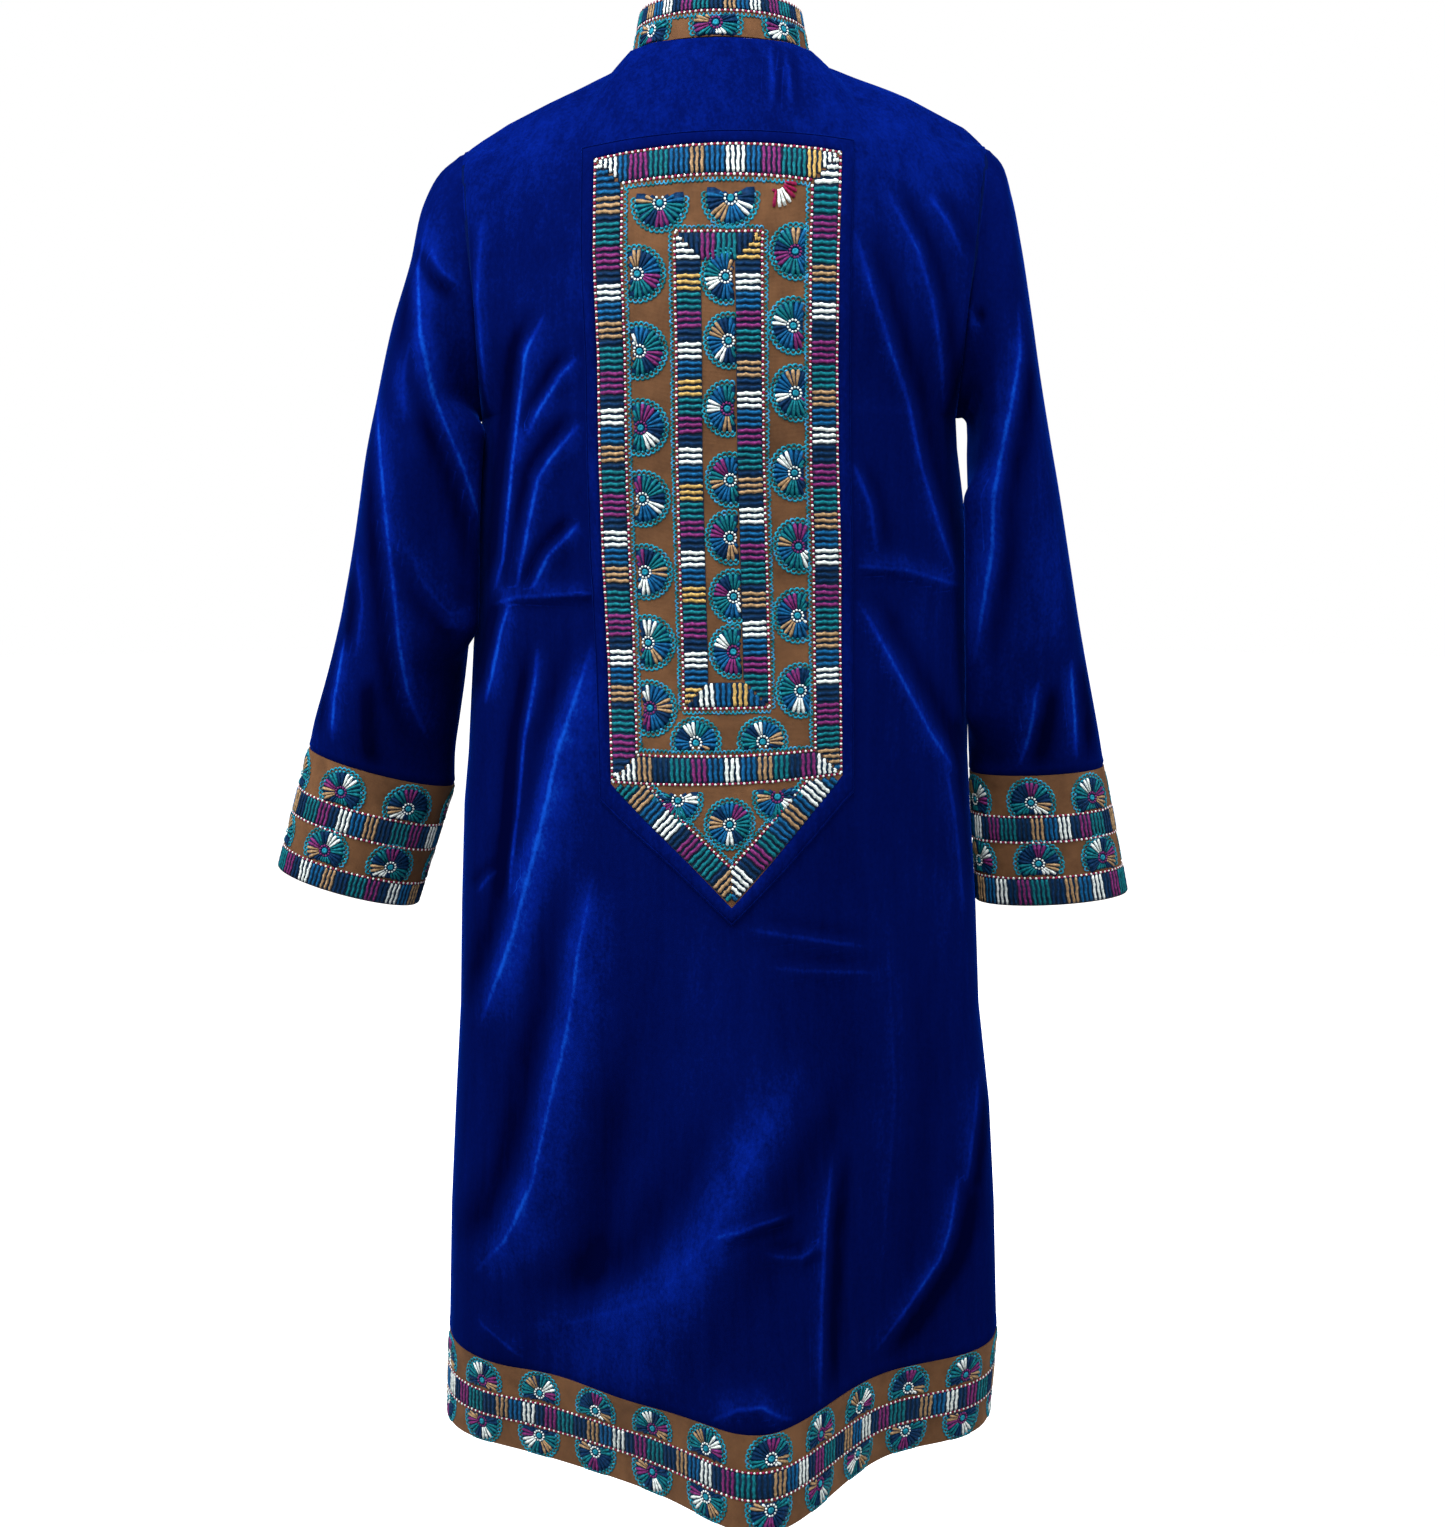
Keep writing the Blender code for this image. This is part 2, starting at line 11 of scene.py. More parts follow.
import bpy
import numpy as np
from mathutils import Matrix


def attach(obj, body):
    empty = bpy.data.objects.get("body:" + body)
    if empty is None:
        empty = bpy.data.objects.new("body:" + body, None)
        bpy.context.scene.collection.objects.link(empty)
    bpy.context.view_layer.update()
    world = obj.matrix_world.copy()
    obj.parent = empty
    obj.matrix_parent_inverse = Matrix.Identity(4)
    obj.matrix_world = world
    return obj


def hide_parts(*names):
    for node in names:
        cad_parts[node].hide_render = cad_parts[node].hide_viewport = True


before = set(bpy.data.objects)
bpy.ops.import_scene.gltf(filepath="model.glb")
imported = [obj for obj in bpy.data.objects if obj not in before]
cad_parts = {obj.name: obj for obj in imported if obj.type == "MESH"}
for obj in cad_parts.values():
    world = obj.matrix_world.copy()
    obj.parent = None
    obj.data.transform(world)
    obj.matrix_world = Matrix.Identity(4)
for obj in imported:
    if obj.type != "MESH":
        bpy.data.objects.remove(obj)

LOG = logging.getLogger("coat")
BODY = "root"
SEAM_GROOVE = 0.0009
GROOVE_WIDTH = 0.0016

Array = np.ndarray
Socket = bpy.types.NodeSocket
Material = bpy.types.Material
Piece = bpy.types.Object


class Side(Enum):
    """The wearer's left (+X) or right (-X)."""

    LEFT = 1
    RIGHT = -1


class Face(Enum):
    """The back or the front of the body."""

    BACK = 1
    FRONT = -1


class Thread(Enum):
    """Embroidery threads by colour, each with its letter in the colour orders."""

    NAVY = "N"
    BLUE = "B"
    SKY = "S"
    TEAL = "T"
    TURQUOISE = "Q"
    WHITE = "W"
    MAGENTA = "M"
    MAROON = "R"
    GOLD = "G"
    TAN = "A"


THREAD_COLOURS: dict[Thread, tuple[float, float, float]] = {
    Thread.NAVY: (0.001, 0.022, 0.075),
    Thread.BLUE: (0.003, 0.085, 0.225),
    Thread.SKY: (0.035, 0.240, 0.420),
    Thread.TEAL: (0.003, 0.135, 0.170),
    Thread.TURQUOISE: (0.010, 0.230, 0.330),
    Thread.WHITE: (0.760, 0.850, 0.830),
    Thread.MAGENTA: (0.165, 0.022, 0.130),
    Thread.MAROON: (0.230, 0.008, 0.055),
    Thread.GOLD: (0.480, 0.320, 0.100),
    Thread.TAN: (0.340, 0.220, 0.115),
}


def ease(t: Array) -> Array:
    """Soft step from 0 to 1."""
    t = np.clip(t, 0.0, 1.0)
    return t * t * (3.0 - 2.0 * t)


def column(rows: tuple, z: Array, index: int) -> Array:
    """Reads one column of a table whose rows go down.

    Args:
        rows: The table, height first.
        z: Heights to read at.
        index: The column.

    Returns:
        Values at the heights.
    """
    return np.interp(-z, [-row[0] for row in rows], [row[index] for row in rows])


# Finishes


class NodeSheet:
    """A new material and short ways to add and link its nodes."""

    def __init__(self, name: str) -> None:
        """Starts a Principled material.

        Args:
            name: The material's name.
        """
        self.material = bpy.data.materials.new(name)
        self.material.use_nodes = True
        self.tree = self.material.node_tree
        self.shader = self.tree.nodes["Principled BSDF"]

    def node(self, kind: str, **values: object) -> bpy.types.Node:
        """Adds a node.

        Args:
            kind: The node type's name.
            values: Its properties, or its inputs where a property has no such name.

        Returns:
            The node.
        """
        made = self.tree.nodes.new(kind)
        for key, value in values.items():
            if hasattr(made, key):
                setattr(made, key, value)
            else:
                made.inputs[key.replace("_", " ").title()].default_value = value
        return made

    def link(self, source: Socket, target: Socket) -> None:
        """Joins two sockets."""
        self.tree.links.new(source, target)

    def attribute(self, name: str) -> Socket:
        """Value that the mesh holds under a name."""
        return self.node("ShaderNodeAttribute", attribute_name=name).outputs["Fac"]

    def place(self, scale: tuple[float, float, float] = (1.0, 1.0, 1.0), output: str = "Object") -> Socket:
        """Scaled texture coordinates.

        Args:
            scale: Scale on each axis.
            output: Object or UV.

        Returns:
            The vector socket.
        """
        where = self.node("ShaderNodeTexCoord")
        mapping = self.node("ShaderNodeMapping")
        mapping.inputs["Scale"].default_value = scale
        self.link(where.outputs[output], mapping.inputs["Vector"])
        return mapping.outputs["Vector"]

    def noise(self, where: Socket, scale: float, detail: float, rough: float) -> Socket:
        """Noise value at a place.

        Args:
            where: Coordinates.
            scale: Its scale.
            detail: Its detail.
            rough: Its roughness.

        Returns:
            The value socket.
        """
        made = self.node("ShaderNodeTexNoise", scale=scale, detail=detail, roughness=rough)
        self.link(where, made.inputs["Vector"])
        return made.outputs["Fac"]

    def colour(self, value: Socket, stops: tuple) -> None:
        """Colours the surface along a value.

        Args:
            value: The value socket.
            stops: Pairs of position and colour.
        """
        made = self.node("ShaderNodeValToRGB")
        ramp = made.color_ramp
        while len(ramp.elements) < len(stops):
            ramp.elements.new(0.5)
        for element, (position, colour) in zip(ramp.elements, stops):
            element.position = position
            element.color = (*colour, 1.0)
        self.link(value, made.inputs["Fac"])
        self.link(made.outputs["Color"], self.shader.inputs["Base Color"])

    def hold(self, values: dict[str, float | tuple]) -> None:
        """Sets constant values on the shader's sockets."""
        for key, value in values.items():
            self.shader.inputs[key].default_value = value

    def math(self, operation: str, *values: Socket | float) -> Socket:
        """Works out a value from sockets and numbers.

        Args:
            operation: What is done to them.
            values: The sockets and numbers in order.

        Returns:
            The result's socket.
        """
        made = self.node("ShaderNodeMath", operation=operation)
        for target, value in zip(made.inputs, values):
            if isinstance(value, float):
                target.default_value = value
            else:
                self.link(value, target)
        return made.outputs[0]

    def weigh(self, value: Socket, weight: float, base: Socket | float) -> Socket:
        """Adds a weighted value to a base, a socket or a number."""
        return self.math("MULTIPLY_ADD", value, weight, base)

    def bump(self, height: Socket, strength: float, distance: float) -> None:
        """Adds a bump over any earlier one.

        Args:
            height: The height socket.
            strength: Its strength.
            distance: Its depth in metres.
        """
        made = self.node("ShaderNodeBump", strength=strength, distance=distance)
        self.link(height, made.inputs["Height"])
        earlier = self.shader.inputs["Normal"].links
        if earlier:
            self.link(earlier[0].from_socket, made.inputs["Normal"])
        self.link(made.outputs["Normal"], self.shader.inputs["Normal"])


@dataclass(frozen=True)
class VelvetFinish:
    """Royal blue pile velvet, brushed in patches, with highlights and shade painted into its colour along its
    folds and over its shoulders.
    """

    name: str = "velvet_pile"
    # From dark to bright blue: the pile's own patches vary about the second stop; painted shade pulls towards
    # the first and painted highlights towards the last.
    shades: tuple = (
        (0.00, (0.0003, 0.0010, 0.022)),
        (0.30, (0.0006, 0.0040, 0.072)),
        (0.60, (0.0013, 0.0122, 0.212)),
        (1.00, (0.0040, 0.0620, 0.480)),
    )
    sheen: tuple[float, float, float, float] = (0.008, 0.10, 1.0, 1.0)

    def material(self) -> Material:
        """Builds the velvet; a mesh attribute paints highlights and shade into its colour along the folds and
        over the shoulders.

        Returns:
            The material.
        """
        sheet = NodeSheet(self.name)
        # Painted light and shade from the mesh, above 0 a painted highlight and below 0 painted shade, plus
        # the thin painted highlight along each fold's top.
        turned = sheet.attribute("painted_sheen_shade")
        lit = sheet.weigh(self.painted_highlight(sheet), 0.62, turned)
        patch = sheet.noise(sheet.place((9.0, 9.0, 4.5)), 1.0, 4.0, 0.55)
        streak = sheet.noise(sheet.place((120.0, 120.0, 13.0)), 1.0, 4.0, 0.65)
        brush = sheet.noise(sheet.place((60.0, 60.0, 42.0)), 1.0, 5.0, 0.70)
        grain = sheet.noise(sheet.place((1.0, 1.0, 0.7)), 420.0, 3.0, 0.65)
        # The painted light, broken up by the brushed patches and the grain.
        grainy_painted_light = sheet.math("MULTIPLY", lit, sheet.weigh(brush, 1.5, sheet.weigh(grain, 0.9, -0.20)))
        parts = ((patch, 0.34), (streak, 0.22), (brush, 0.16), (grain, 0.26))
        value = sheet.weigh(grainy_painted_light, 0.55, 0.30 - 0.5 * sum(weight for _, weight in parts))
        for part, weight in parts:
            value = sheet.weigh(part, weight, value)
        sheet.colour(value, self.shades)
        pile = sheet.noise(sheet.place(), 1500.0, 2.0, 0.6)
        rub = sheet.noise(sheet.place((1.0, 1.0, 0.6)), 55.0, 3.0, 0.55)
        sheet.bump(rub, 0.30, 0.0014)
        sheet.bump(pile, 0.35, 0.0004)
        sheet.hold({"Roughness": 0.62, "Specular IOR Level": 0.0})
        sheet.hold({"Sheen Weight": 0.34, "Sheen Roughness": 0.25, "Sheen Tint": self.sheen})
        return sheet.material

    def painted_highlight(self, sheet: NodeSheet) -> Socket:
        """Painted highlight: a thin bright line along the top of each fold.

        Args:
            sheet: The velvet's nodes; the ridge attribute is the distance from the line in centimetres,
                another attribute the painted highlight's strength.

        Returns:
            The brightness socket.
        """
        fall = sheet.node("ShaderNodeMapRange", interpolation_type="SMOOTHSTEP")
        for key, value in (("From Min", 0.0), ("From Max", 0.26), ("To Min", 1.0), ("To Max", 0.0)):
            fall.inputs[key].default_value = value
        sheet.link(sheet.math("ABSOLUTE", sheet.attribute("ridge")), fall.inputs["Value"])
        return sheet.math("MULTIPLY", fall.outputs["Result"], sheet.attribute("painted_highlight"))


@dataclass(frozen=True)
class WeaveFinish:
    """Plain weave: crossing threads, slubs, soft colour patches and painted shade in the hollows of its
    wrinkles.
    """

    name: str
    dark: tuple[float, float, float]
    light: tuple[float, float, float]
    pitch: float = 0.0009
    roughness: float = 0.85
    gloss: float = 0.15

    def material(self) -> Material:
        """Builds the weave on the piece's UV map, in metres.

        Returns:
            The material.
        """
        sheet = NodeSheet(self.name)
        flat = sheet.place((1.0 / self.pitch, 1.0 / self.pitch, 1.0), "UV")
        yarns = [
            sheet.node("ShaderNodeTexWave", bands_direction=way, distortion=0.6, scale=0.32) for way in "XY"
        ]
        for yarn in yarns:
            sheet.link(flat, yarn.inputs["Vector"])
        cross = sheet.math("MAXIMUM", *(yarn.outputs["Fac"] for yarn in yarns))
        patch = sheet.noise(sheet.place(), 45.0, 5.0, 0.65)
        wrinkle_and_painted_shade = sheet.noise(sheet.place((1.0, 1.0, 0.7)), 30.0, 2.0, 0.5)
        # The wrinkle noise that bumps the cloth also lightens the colour on its rises and darkens it in its
        # hollows: painted wrinkle shade.
        mixed = sheet.weigh(cross, 0.30, sheet.weigh(wrinkle_and_painted_shade, 0.55, sheet.weigh(patch, 0.75, -0.15)))
        sheet.colour(mixed, ((0.40, self.dark), (0.90, self.light)))
        sheet.bump(wrinkle_and_painted_shade, 0.6, 0.0060)
        sheet.bump(cross, 0.5, 0.0003)
        sheet.hold({"Roughness": self.roughness, "Specular IOR Level": self.gloss})
        return sheet.material


@dataclass(frozen=True)
class ThreadFinish:
    """Soft embroidery floss: fine strands, a slight gloss and uneven dye."""

    thread: Thread

    def material(self) -> Material:
        """Builds the floss.

        Returns:
            The material.
        """
        colour = THREAD_COLOURS[self.thread]
        sheet = NodeSheet("thread_" + self.thread.name.lower())
        dark = tuple(0.50 * c for c in colour)
        light = tuple(min(1.60 * c + 0.004, 0.95) for c in colour)
        dye = sheet.noise(sheet.place(), 420.0, 3.0, 0.6)
        sheet.colour(dye, ((0.30, dark), (0.52, colour), (0.72, light)))
        strand = sheet.noise(sheet.place(), 1800.0, 2.0, 0.6)
        sheet.bump(strand, 0.5, 0.0003)
        sheet.hold({"Roughness": 0.55, "Specular IOR Level": 0.06})
        return sheet.material


@dataclass
class Wardrobe:
    """The coat's finishes, each made once."""

    velvet: tuple[Material, Material] = field(init=False)
    brown: tuple[Material, Material] = field(init=False)
    ground: Material = field(init=False)
    threads: dict = field(init=False)

    def __post_init__(self) -> None:
        """Makes every material; a cloth has one for each face."""
        pile = VelvetFinish().material()
        backing = WeaveFinish("velvet_backing", (0.0008, 0.003, 0.03), (0.002, 0.008, 0.07), gloss=0.0)
        self.velvet = (pile, backing.material())
        brown = WeaveFinish("brown_cloth", (0.055, 0.024, 0.010), (0.165, 0.076, 0.032)).material()
        self.brown = (brown, brown)
        self.ground = WeaveFinish("dark_ground", (0.001, 0.010, 0.030), (0.003, 0.030, 0.070)).material()
        self.threads = {thread: ThreadFinish(thread).material() for thread in Thread}


# Mesh making


def deselect() -> None:
    """Leaves nothing selected."""
    if bpy.context.mode != "OBJECT":
        bpy.ops.object.mode_set(mode="OBJECT")
    bpy.ops.object.select_all(action="DESELECT")


def activate(piece: Piece) -> None:
    """Selects one object and makes it active."""
    deselect()
    piece.select_set(True)
    bpy.context.view_layer.objects.active = piece


def edit_whole() -> None:
    """Opens the active object in edit mode with all of it selected."""
    bpy.ops.object.mode_set(mode="EDIT")
    bpy.ops.mesh.select_all(action="SELECT")


def face_outwards() -> None:
    """Turns the active object's faces outwards and leaves edit mode."""
    edit_whole()
    bpy.ops.mesh.normals_make_consistent(inside=False)
    bpy.ops.object.mode_set(mode="OBJECT")


def apply_all(piece: Piece) -> None:
    """Applies every modifier of a piece."""
    activate(piece)
    for modifier in list(piece.modifiers):
        bpy.ops.object.modifier_apply(modifier=modifier.name)


def grid_normals(points: Array, closed: bool, flip: bool) -> Array:
    """Unit normals of a grid of points.

    Args:
        points: Rows by columns by 3.
        closed: Whether the columns join up.
        flip: Whether to turn them over.

    Returns:
        Normals in the same layout.
    """
    if closed:
        across = np.roll(points, -1, axis=1) - np.roll(points, 1, axis=1)
    else:
        across = np.gradient(points, axis=1)
    down = np.gradient(points, axis=0)
    normals = np.cross(across, down)
    normals /= np.maximum(np.linalg.norm(normals, axis=2, keepdims=True), 1e-12)
    return -normals if flip else normals


def new_mesh(name: str, vertices: Array, faces: Array, uv: Array | None = None) -> Piece:
    """Makes a mesh object from arrays.

    Args:
        name: The object's name.
        vertices: Vertex positions.
        faces: Quads as vertex numbers.
        uv: A UV pair for each vertex.

    Returns:
        The object, linked to the scene.
    """
    mesh = bpy.data.meshes.new(name)
    mesh.from_pydata(vertices.reshape(-1, 3).tolist(), [], faces.tolist())
    if uv is not None:
        layer = mesh.uv_layers.new(name="cloth")
        loops = np.empty(len(mesh.loops), dtype=np.int32)
        mesh.loops.foreach_get("vertex_index", loops)
        layer.data.foreach_set("uv", uv.reshape(-1, 2)[loops].ravel())
    mesh.update()
    piece = bpy.data.objects.new(name, mesh)
    bpy.context.scene.collection.objects.link(piece)
    return piece


def grid_faces(rows: int, columns: int, closed: bool, flip: bool) -> Array:
    """Quads of a grid.

    Args:
        rows: Rows of points.
        columns: Columns of points.
        closed: Whether the columns join up.
        flip: Whether to turn the faces over.

    Returns:
        Quads as vertex numbers.
    """
    last = columns if closed else columns - 1
    r, c = np.meshgrid(np.arange(rows - 1), np.arange(last), indexing="ij")
    d = (c + 1) % columns
    upper, lower = r * columns, (r + 1) * columns
    quads = np.stack([upper + c, upper + d, lower + d, lower + c], axis=-1).reshape(-1, 4)
    return quads[:, ::-1] if flip else quads


def arc_lengths(points: Array, axis: int) -> Array:
    """Distance along the grid lines of one axis, from their start.

    Args:
        points: Rows by columns by 3.
        axis: 0 down the rows, 1 across them.

    Returns:
        Rows by columns.
    """
    steps = np.linalg.norm(np.diff(points, axis=axis), axis=2)
    total = np.cumsum(steps, axis=axis)
    pad = [(0, 0), (0, 0)]
    pad[axis] = (1, 0)
    return np.pad(total, pad)


@dataclass
class Chart:
    """A cloth surface laid out flat: distances across and down give a point on it."""

    points: Array
    normals: Array
    across: Array
    down: Array
    closed: bool = False

    @staticmethod
    def of(points: Array, closed: bool, flip: bool) -> "Chart":
        """Chart of a grid, measured along its middle lines.

        Args:
            points: Rows by columns by 3.
            closed: Whether the columns join up.
            flip: Whether its normals are turned over.

        Returns:
            The chart.
        """
        normals = grid_normals(points, closed, flip)
        if closed:
            points = np.concatenate([points, points[:, :1]], axis=1)
            normals = np.concatenate([normals, normals[:, :1]], axis=1)
        across = arc_lengths(points, 1)[len(points) // 2]
        down = np.median(arc_lengths(points, 0), axis=1)
        return Chart(points, normals, across, down, closed)

    @property
    def width(self) -> float:
        """Distance across the whole chart."""
        return float(self.across[-1])

    @property
    def height(self) -> float:
        """Distance down the whole chart."""
        return float(self.down[-1])

    def at(self, s: Array, t: Array, lift: Array) -> Array:
        """Points on or above the surface.

        Args:
            s: Distances across.
            t: Distances down.
            lift: Heights above the cloth.

        Returns:
            Positions, with 3 values on a new last axis.
        """
        if self.closed:
            s = np.mod(s, self.width)
        column_at = np.interp(s, self.across, np.arange(len(self.across)))
        row_at = np.interp(t, self.down, np.arange(len(self.down)))
        c0 = np.minimum(column_at.astype(int), len(self.across) - 2)
        r0 = np.minimum(row_at.astype(int), len(self.down) - 2)
        fc = (column_at - c0)[..., None]
        fr = (row_at - r0)[..., None]

        def blend(values: Array) -> Array:
            """Reads a grid between its points."""
            top = values[r0, c0] * (1 - fc) + values[r0, c0 + 1] * fc
            low = values[r0 + 1, c0] * (1 - fc) + values[r0 + 1, c0 + 1] * fc
            return top * (1 - fr) + low * fr

        return blend(self.points) + blend(self.normals) * np.asarray(lift)[..., None]


def cloth_piece(
    name: str, points: Array, closed: bool, flip: bool, wall: float, finishes: tuple[Material, Material],
    painted_sheen_shade: dict[str, Array] | None = None, share: Array | None = None,
) -> Piece:
    """Makes a cloth wall from a grid on its outer face.

    Args:
        name: The piece's name.
        points: Rows by columns by 3.
        closed: Whether the columns join up.
        flip: Whether the faces are turned over.
        wall: The cloth's thickness.
        finishes: Those of the outer face and the inner one.
        painted_sheen_shade: Highlight and shade painted into the colour at each point, by attribute name.
        share: Share of the wall at each point, below 1 where a seam is trimmed thin.

    Returns:
        The finished piece.
    """
    rows, columns = points.shape[:2]
    across = arc_lengths(points, 1)
    across = across - across[:, columns // 2][:, None]
    uv = np.stack([across, -arc_lengths(points, 0)], axis=-1)
    piece = new_mesh(name, points, grid_faces(rows, columns, closed, flip), uv)
    for finish in finishes:
        piece.data.materials.append(finish)
    for key, values in (painted_sheen_shade or {}).items():
        layer = piece.data.attributes.new(key, "FLOAT", "POINT")
        layer.data.foreach_set("value", values.astype(np.float32).ravel())
    solid = piece.modifiers.new("wall", "SOLIDIFY")
    solid.thickness = wall
    solid.offset = -1.0
    solid.material_offset = 1
    solid.material_offset_rim = 0
    solid.use_even_offset = False
    if share is not None:
        group = piece.vertex_groups.new(name="wall")
        flat = share.ravel()
        group.add(np.flatnonzero(flat >= 1.0).tolist(), 1.0, "REPLACE")
        for index in np.flatnonzero(flat < 1.0):
            group.add([int(index)], float(flat[index]), "REPLACE")
        solid.vertex_group = group.name
    apply_all(piece)
    piece.data.shade_smooth()
    bpy.ops.object.shade_smooth_by_angle(angle=math.radians(50))
    return piece


# Coat forms


@dataclass(frozen=True)
class Crease:
    """A fold: a line on the cloth with its height and widths, all in millimetres."""

    line: tuple[tuple[float, float], ...]
    height: float
    left: float
    right: float
    taper: float = 0.30
    # shine and shade: strengths of the highlight and of the shade painted into the velvet's colour beside the
    # fold; soft widens the painted glow and dims its thin top line.
    shine: float = 0.9
    shade: float = 0.6
    soft: float = 0.0

    def locate(self, x: Array, z: Array) -> tuple[Array, Array, Array, Array]:
        """Finds the nearest place of the line for points seen flat on.

        Args:
            x: Distances from the centre.
            z: Heights.

        Returns:
            Signed distances from the line, widths on that side, strengths along it and, from 0 to 1, how far
            they lie on its outer side.
        """
        nodes = np.array(self.line) / 1000.0
        steps = np.linalg.norm(np.diff(nodes, axis=0), axis=1)
        total = steps.sum()
        nearest = np.full(x.shape, 1e9)
        offset = np.zeros(x.shape)
        place = np.zeros(x.shape)
        beside = np.zeros(x.shape)
        start = 0.0
        for a, b, length in zip(nodes[:-1], nodes[1:], steps):
            way = (b - a) / length
            along = (x - a[0]) * way[0] + (z - a[1]) * way[1]
            held = np.clip(along, 0.0, length)
            dx = x - (a[0] + way[0] * held)
            dz = z - (a[1] + way[1] * held)
            gap = np.hypot(dx, dz)
            closer = gap < nearest
            nearest = np.where(closer, gap, nearest)
            offset = np.where(closer, np.sign(dx * way[1] - dz * way[0]) * gap, offset)
            place = np.where(closer, (start + held) / total, place)
            beside = np.where(closer, dx, beside)
            start += length
        width = np.where(offset < 0, self.left, self.right) / 1000.0
        ends = np.maximum(ease(place / self.taper) * ease((1.0 - place) / self.taper), 0.0)
        return offset, width, ends, 0.5 + 0.5 * np.clip(x / 0.05, -1.0, 1.0) * np.sign(beside)

    def swell(self, x: Array, z: Array) -> Array:
        """Height of the fold at points seen flat on.

        Args:
            x: Distances from the centre.
            z: Heights.

        Returns:
            Outward shifts.
        """
        offset, width, ends, _ = self.locate(x, z)
        return self.height / 1000.0 * ends * np.exp(-0.8 * (np.abs(offset) / width) ** 1.6)

    def painted_sheen_shade(self, x: Array, z: Array) -> Array:
        """Highlight and shade painted into the velvet's colour beside the fold: bright along its top, dark on
        its outer side.

        Args:
            x: Distances from the centre.
            z: Heights.

        Returns:
            Shares, above 0 for bright and below 0 for dark.
        """
        offset, width, ends, outer = self.locate(x, z)
        nearest = np.abs(offset)
        # A trough gets only painted shade along it.
        if self.height < 0.0:
            return -self.shade * ends * np.exp(-((nearest / width) ** 2))
        glow = 0.50 * np.exp(-((nearest / ((1.1 + 1.4 * self.soft) * width)) ** 1.6))
        dark = outer * np.exp(-(((nearest - 1.7 * width) / (1.1 * width)) ** 2))
        return np.sqrt(ends) * (self.shine * glow - self.shade * dark)


def paint_light_and_shade(creases: tuple[Crease, ...], base: Array, x: Array, z: Array) -> dict[str, Array]:
    """Highlights and shade painted into a cloth's colour along its folds.

    Args:
        creases: The folds.
        base: Painted brightness away from the folds.
        x: Distances from the centre.
        z: Heights.

    Returns:
        By name: the painted highlight and shade, above 0 for bright and below 0 for dark; ridge, the signed
        distance in centimetres from the nearest fold's top line; and how strong the painted highlight on that
        line is.
    """
    painted_sheen_shade = base
    ridge = np.full(x.shape, 1.0)
    painted_highlight = np.zeros(x.shape)
    for crease in creases:
        painted_sheen_shade = painted_sheen_shade + crease.painted_sheen_shade(x, z)
        if crease.height > 0.0:
            # The thin painted highlight along the top of the nearest bright fold.
            offset, _, ends, _ = crease.locate(x, z)
            near = ease((0.009 - np.abs(offset)) / 0.004)
            strength = crease.shine * (1.0 - crease.soft) * np.sqrt(ends) * near
            nearer = strength > painted_highlight
            ridge = np.where(nearer, np.clip(100.0 * offset, -1.0, 1.0), ridge)
            painted_highlight = np.where(nearer, strength, painted_highlight)
    return {"painted_sheen_shade": np.clip(painted_sheen_shade, -0.9, 1.3), "ridge": ridge, "painted_highlight": painted_highlight}


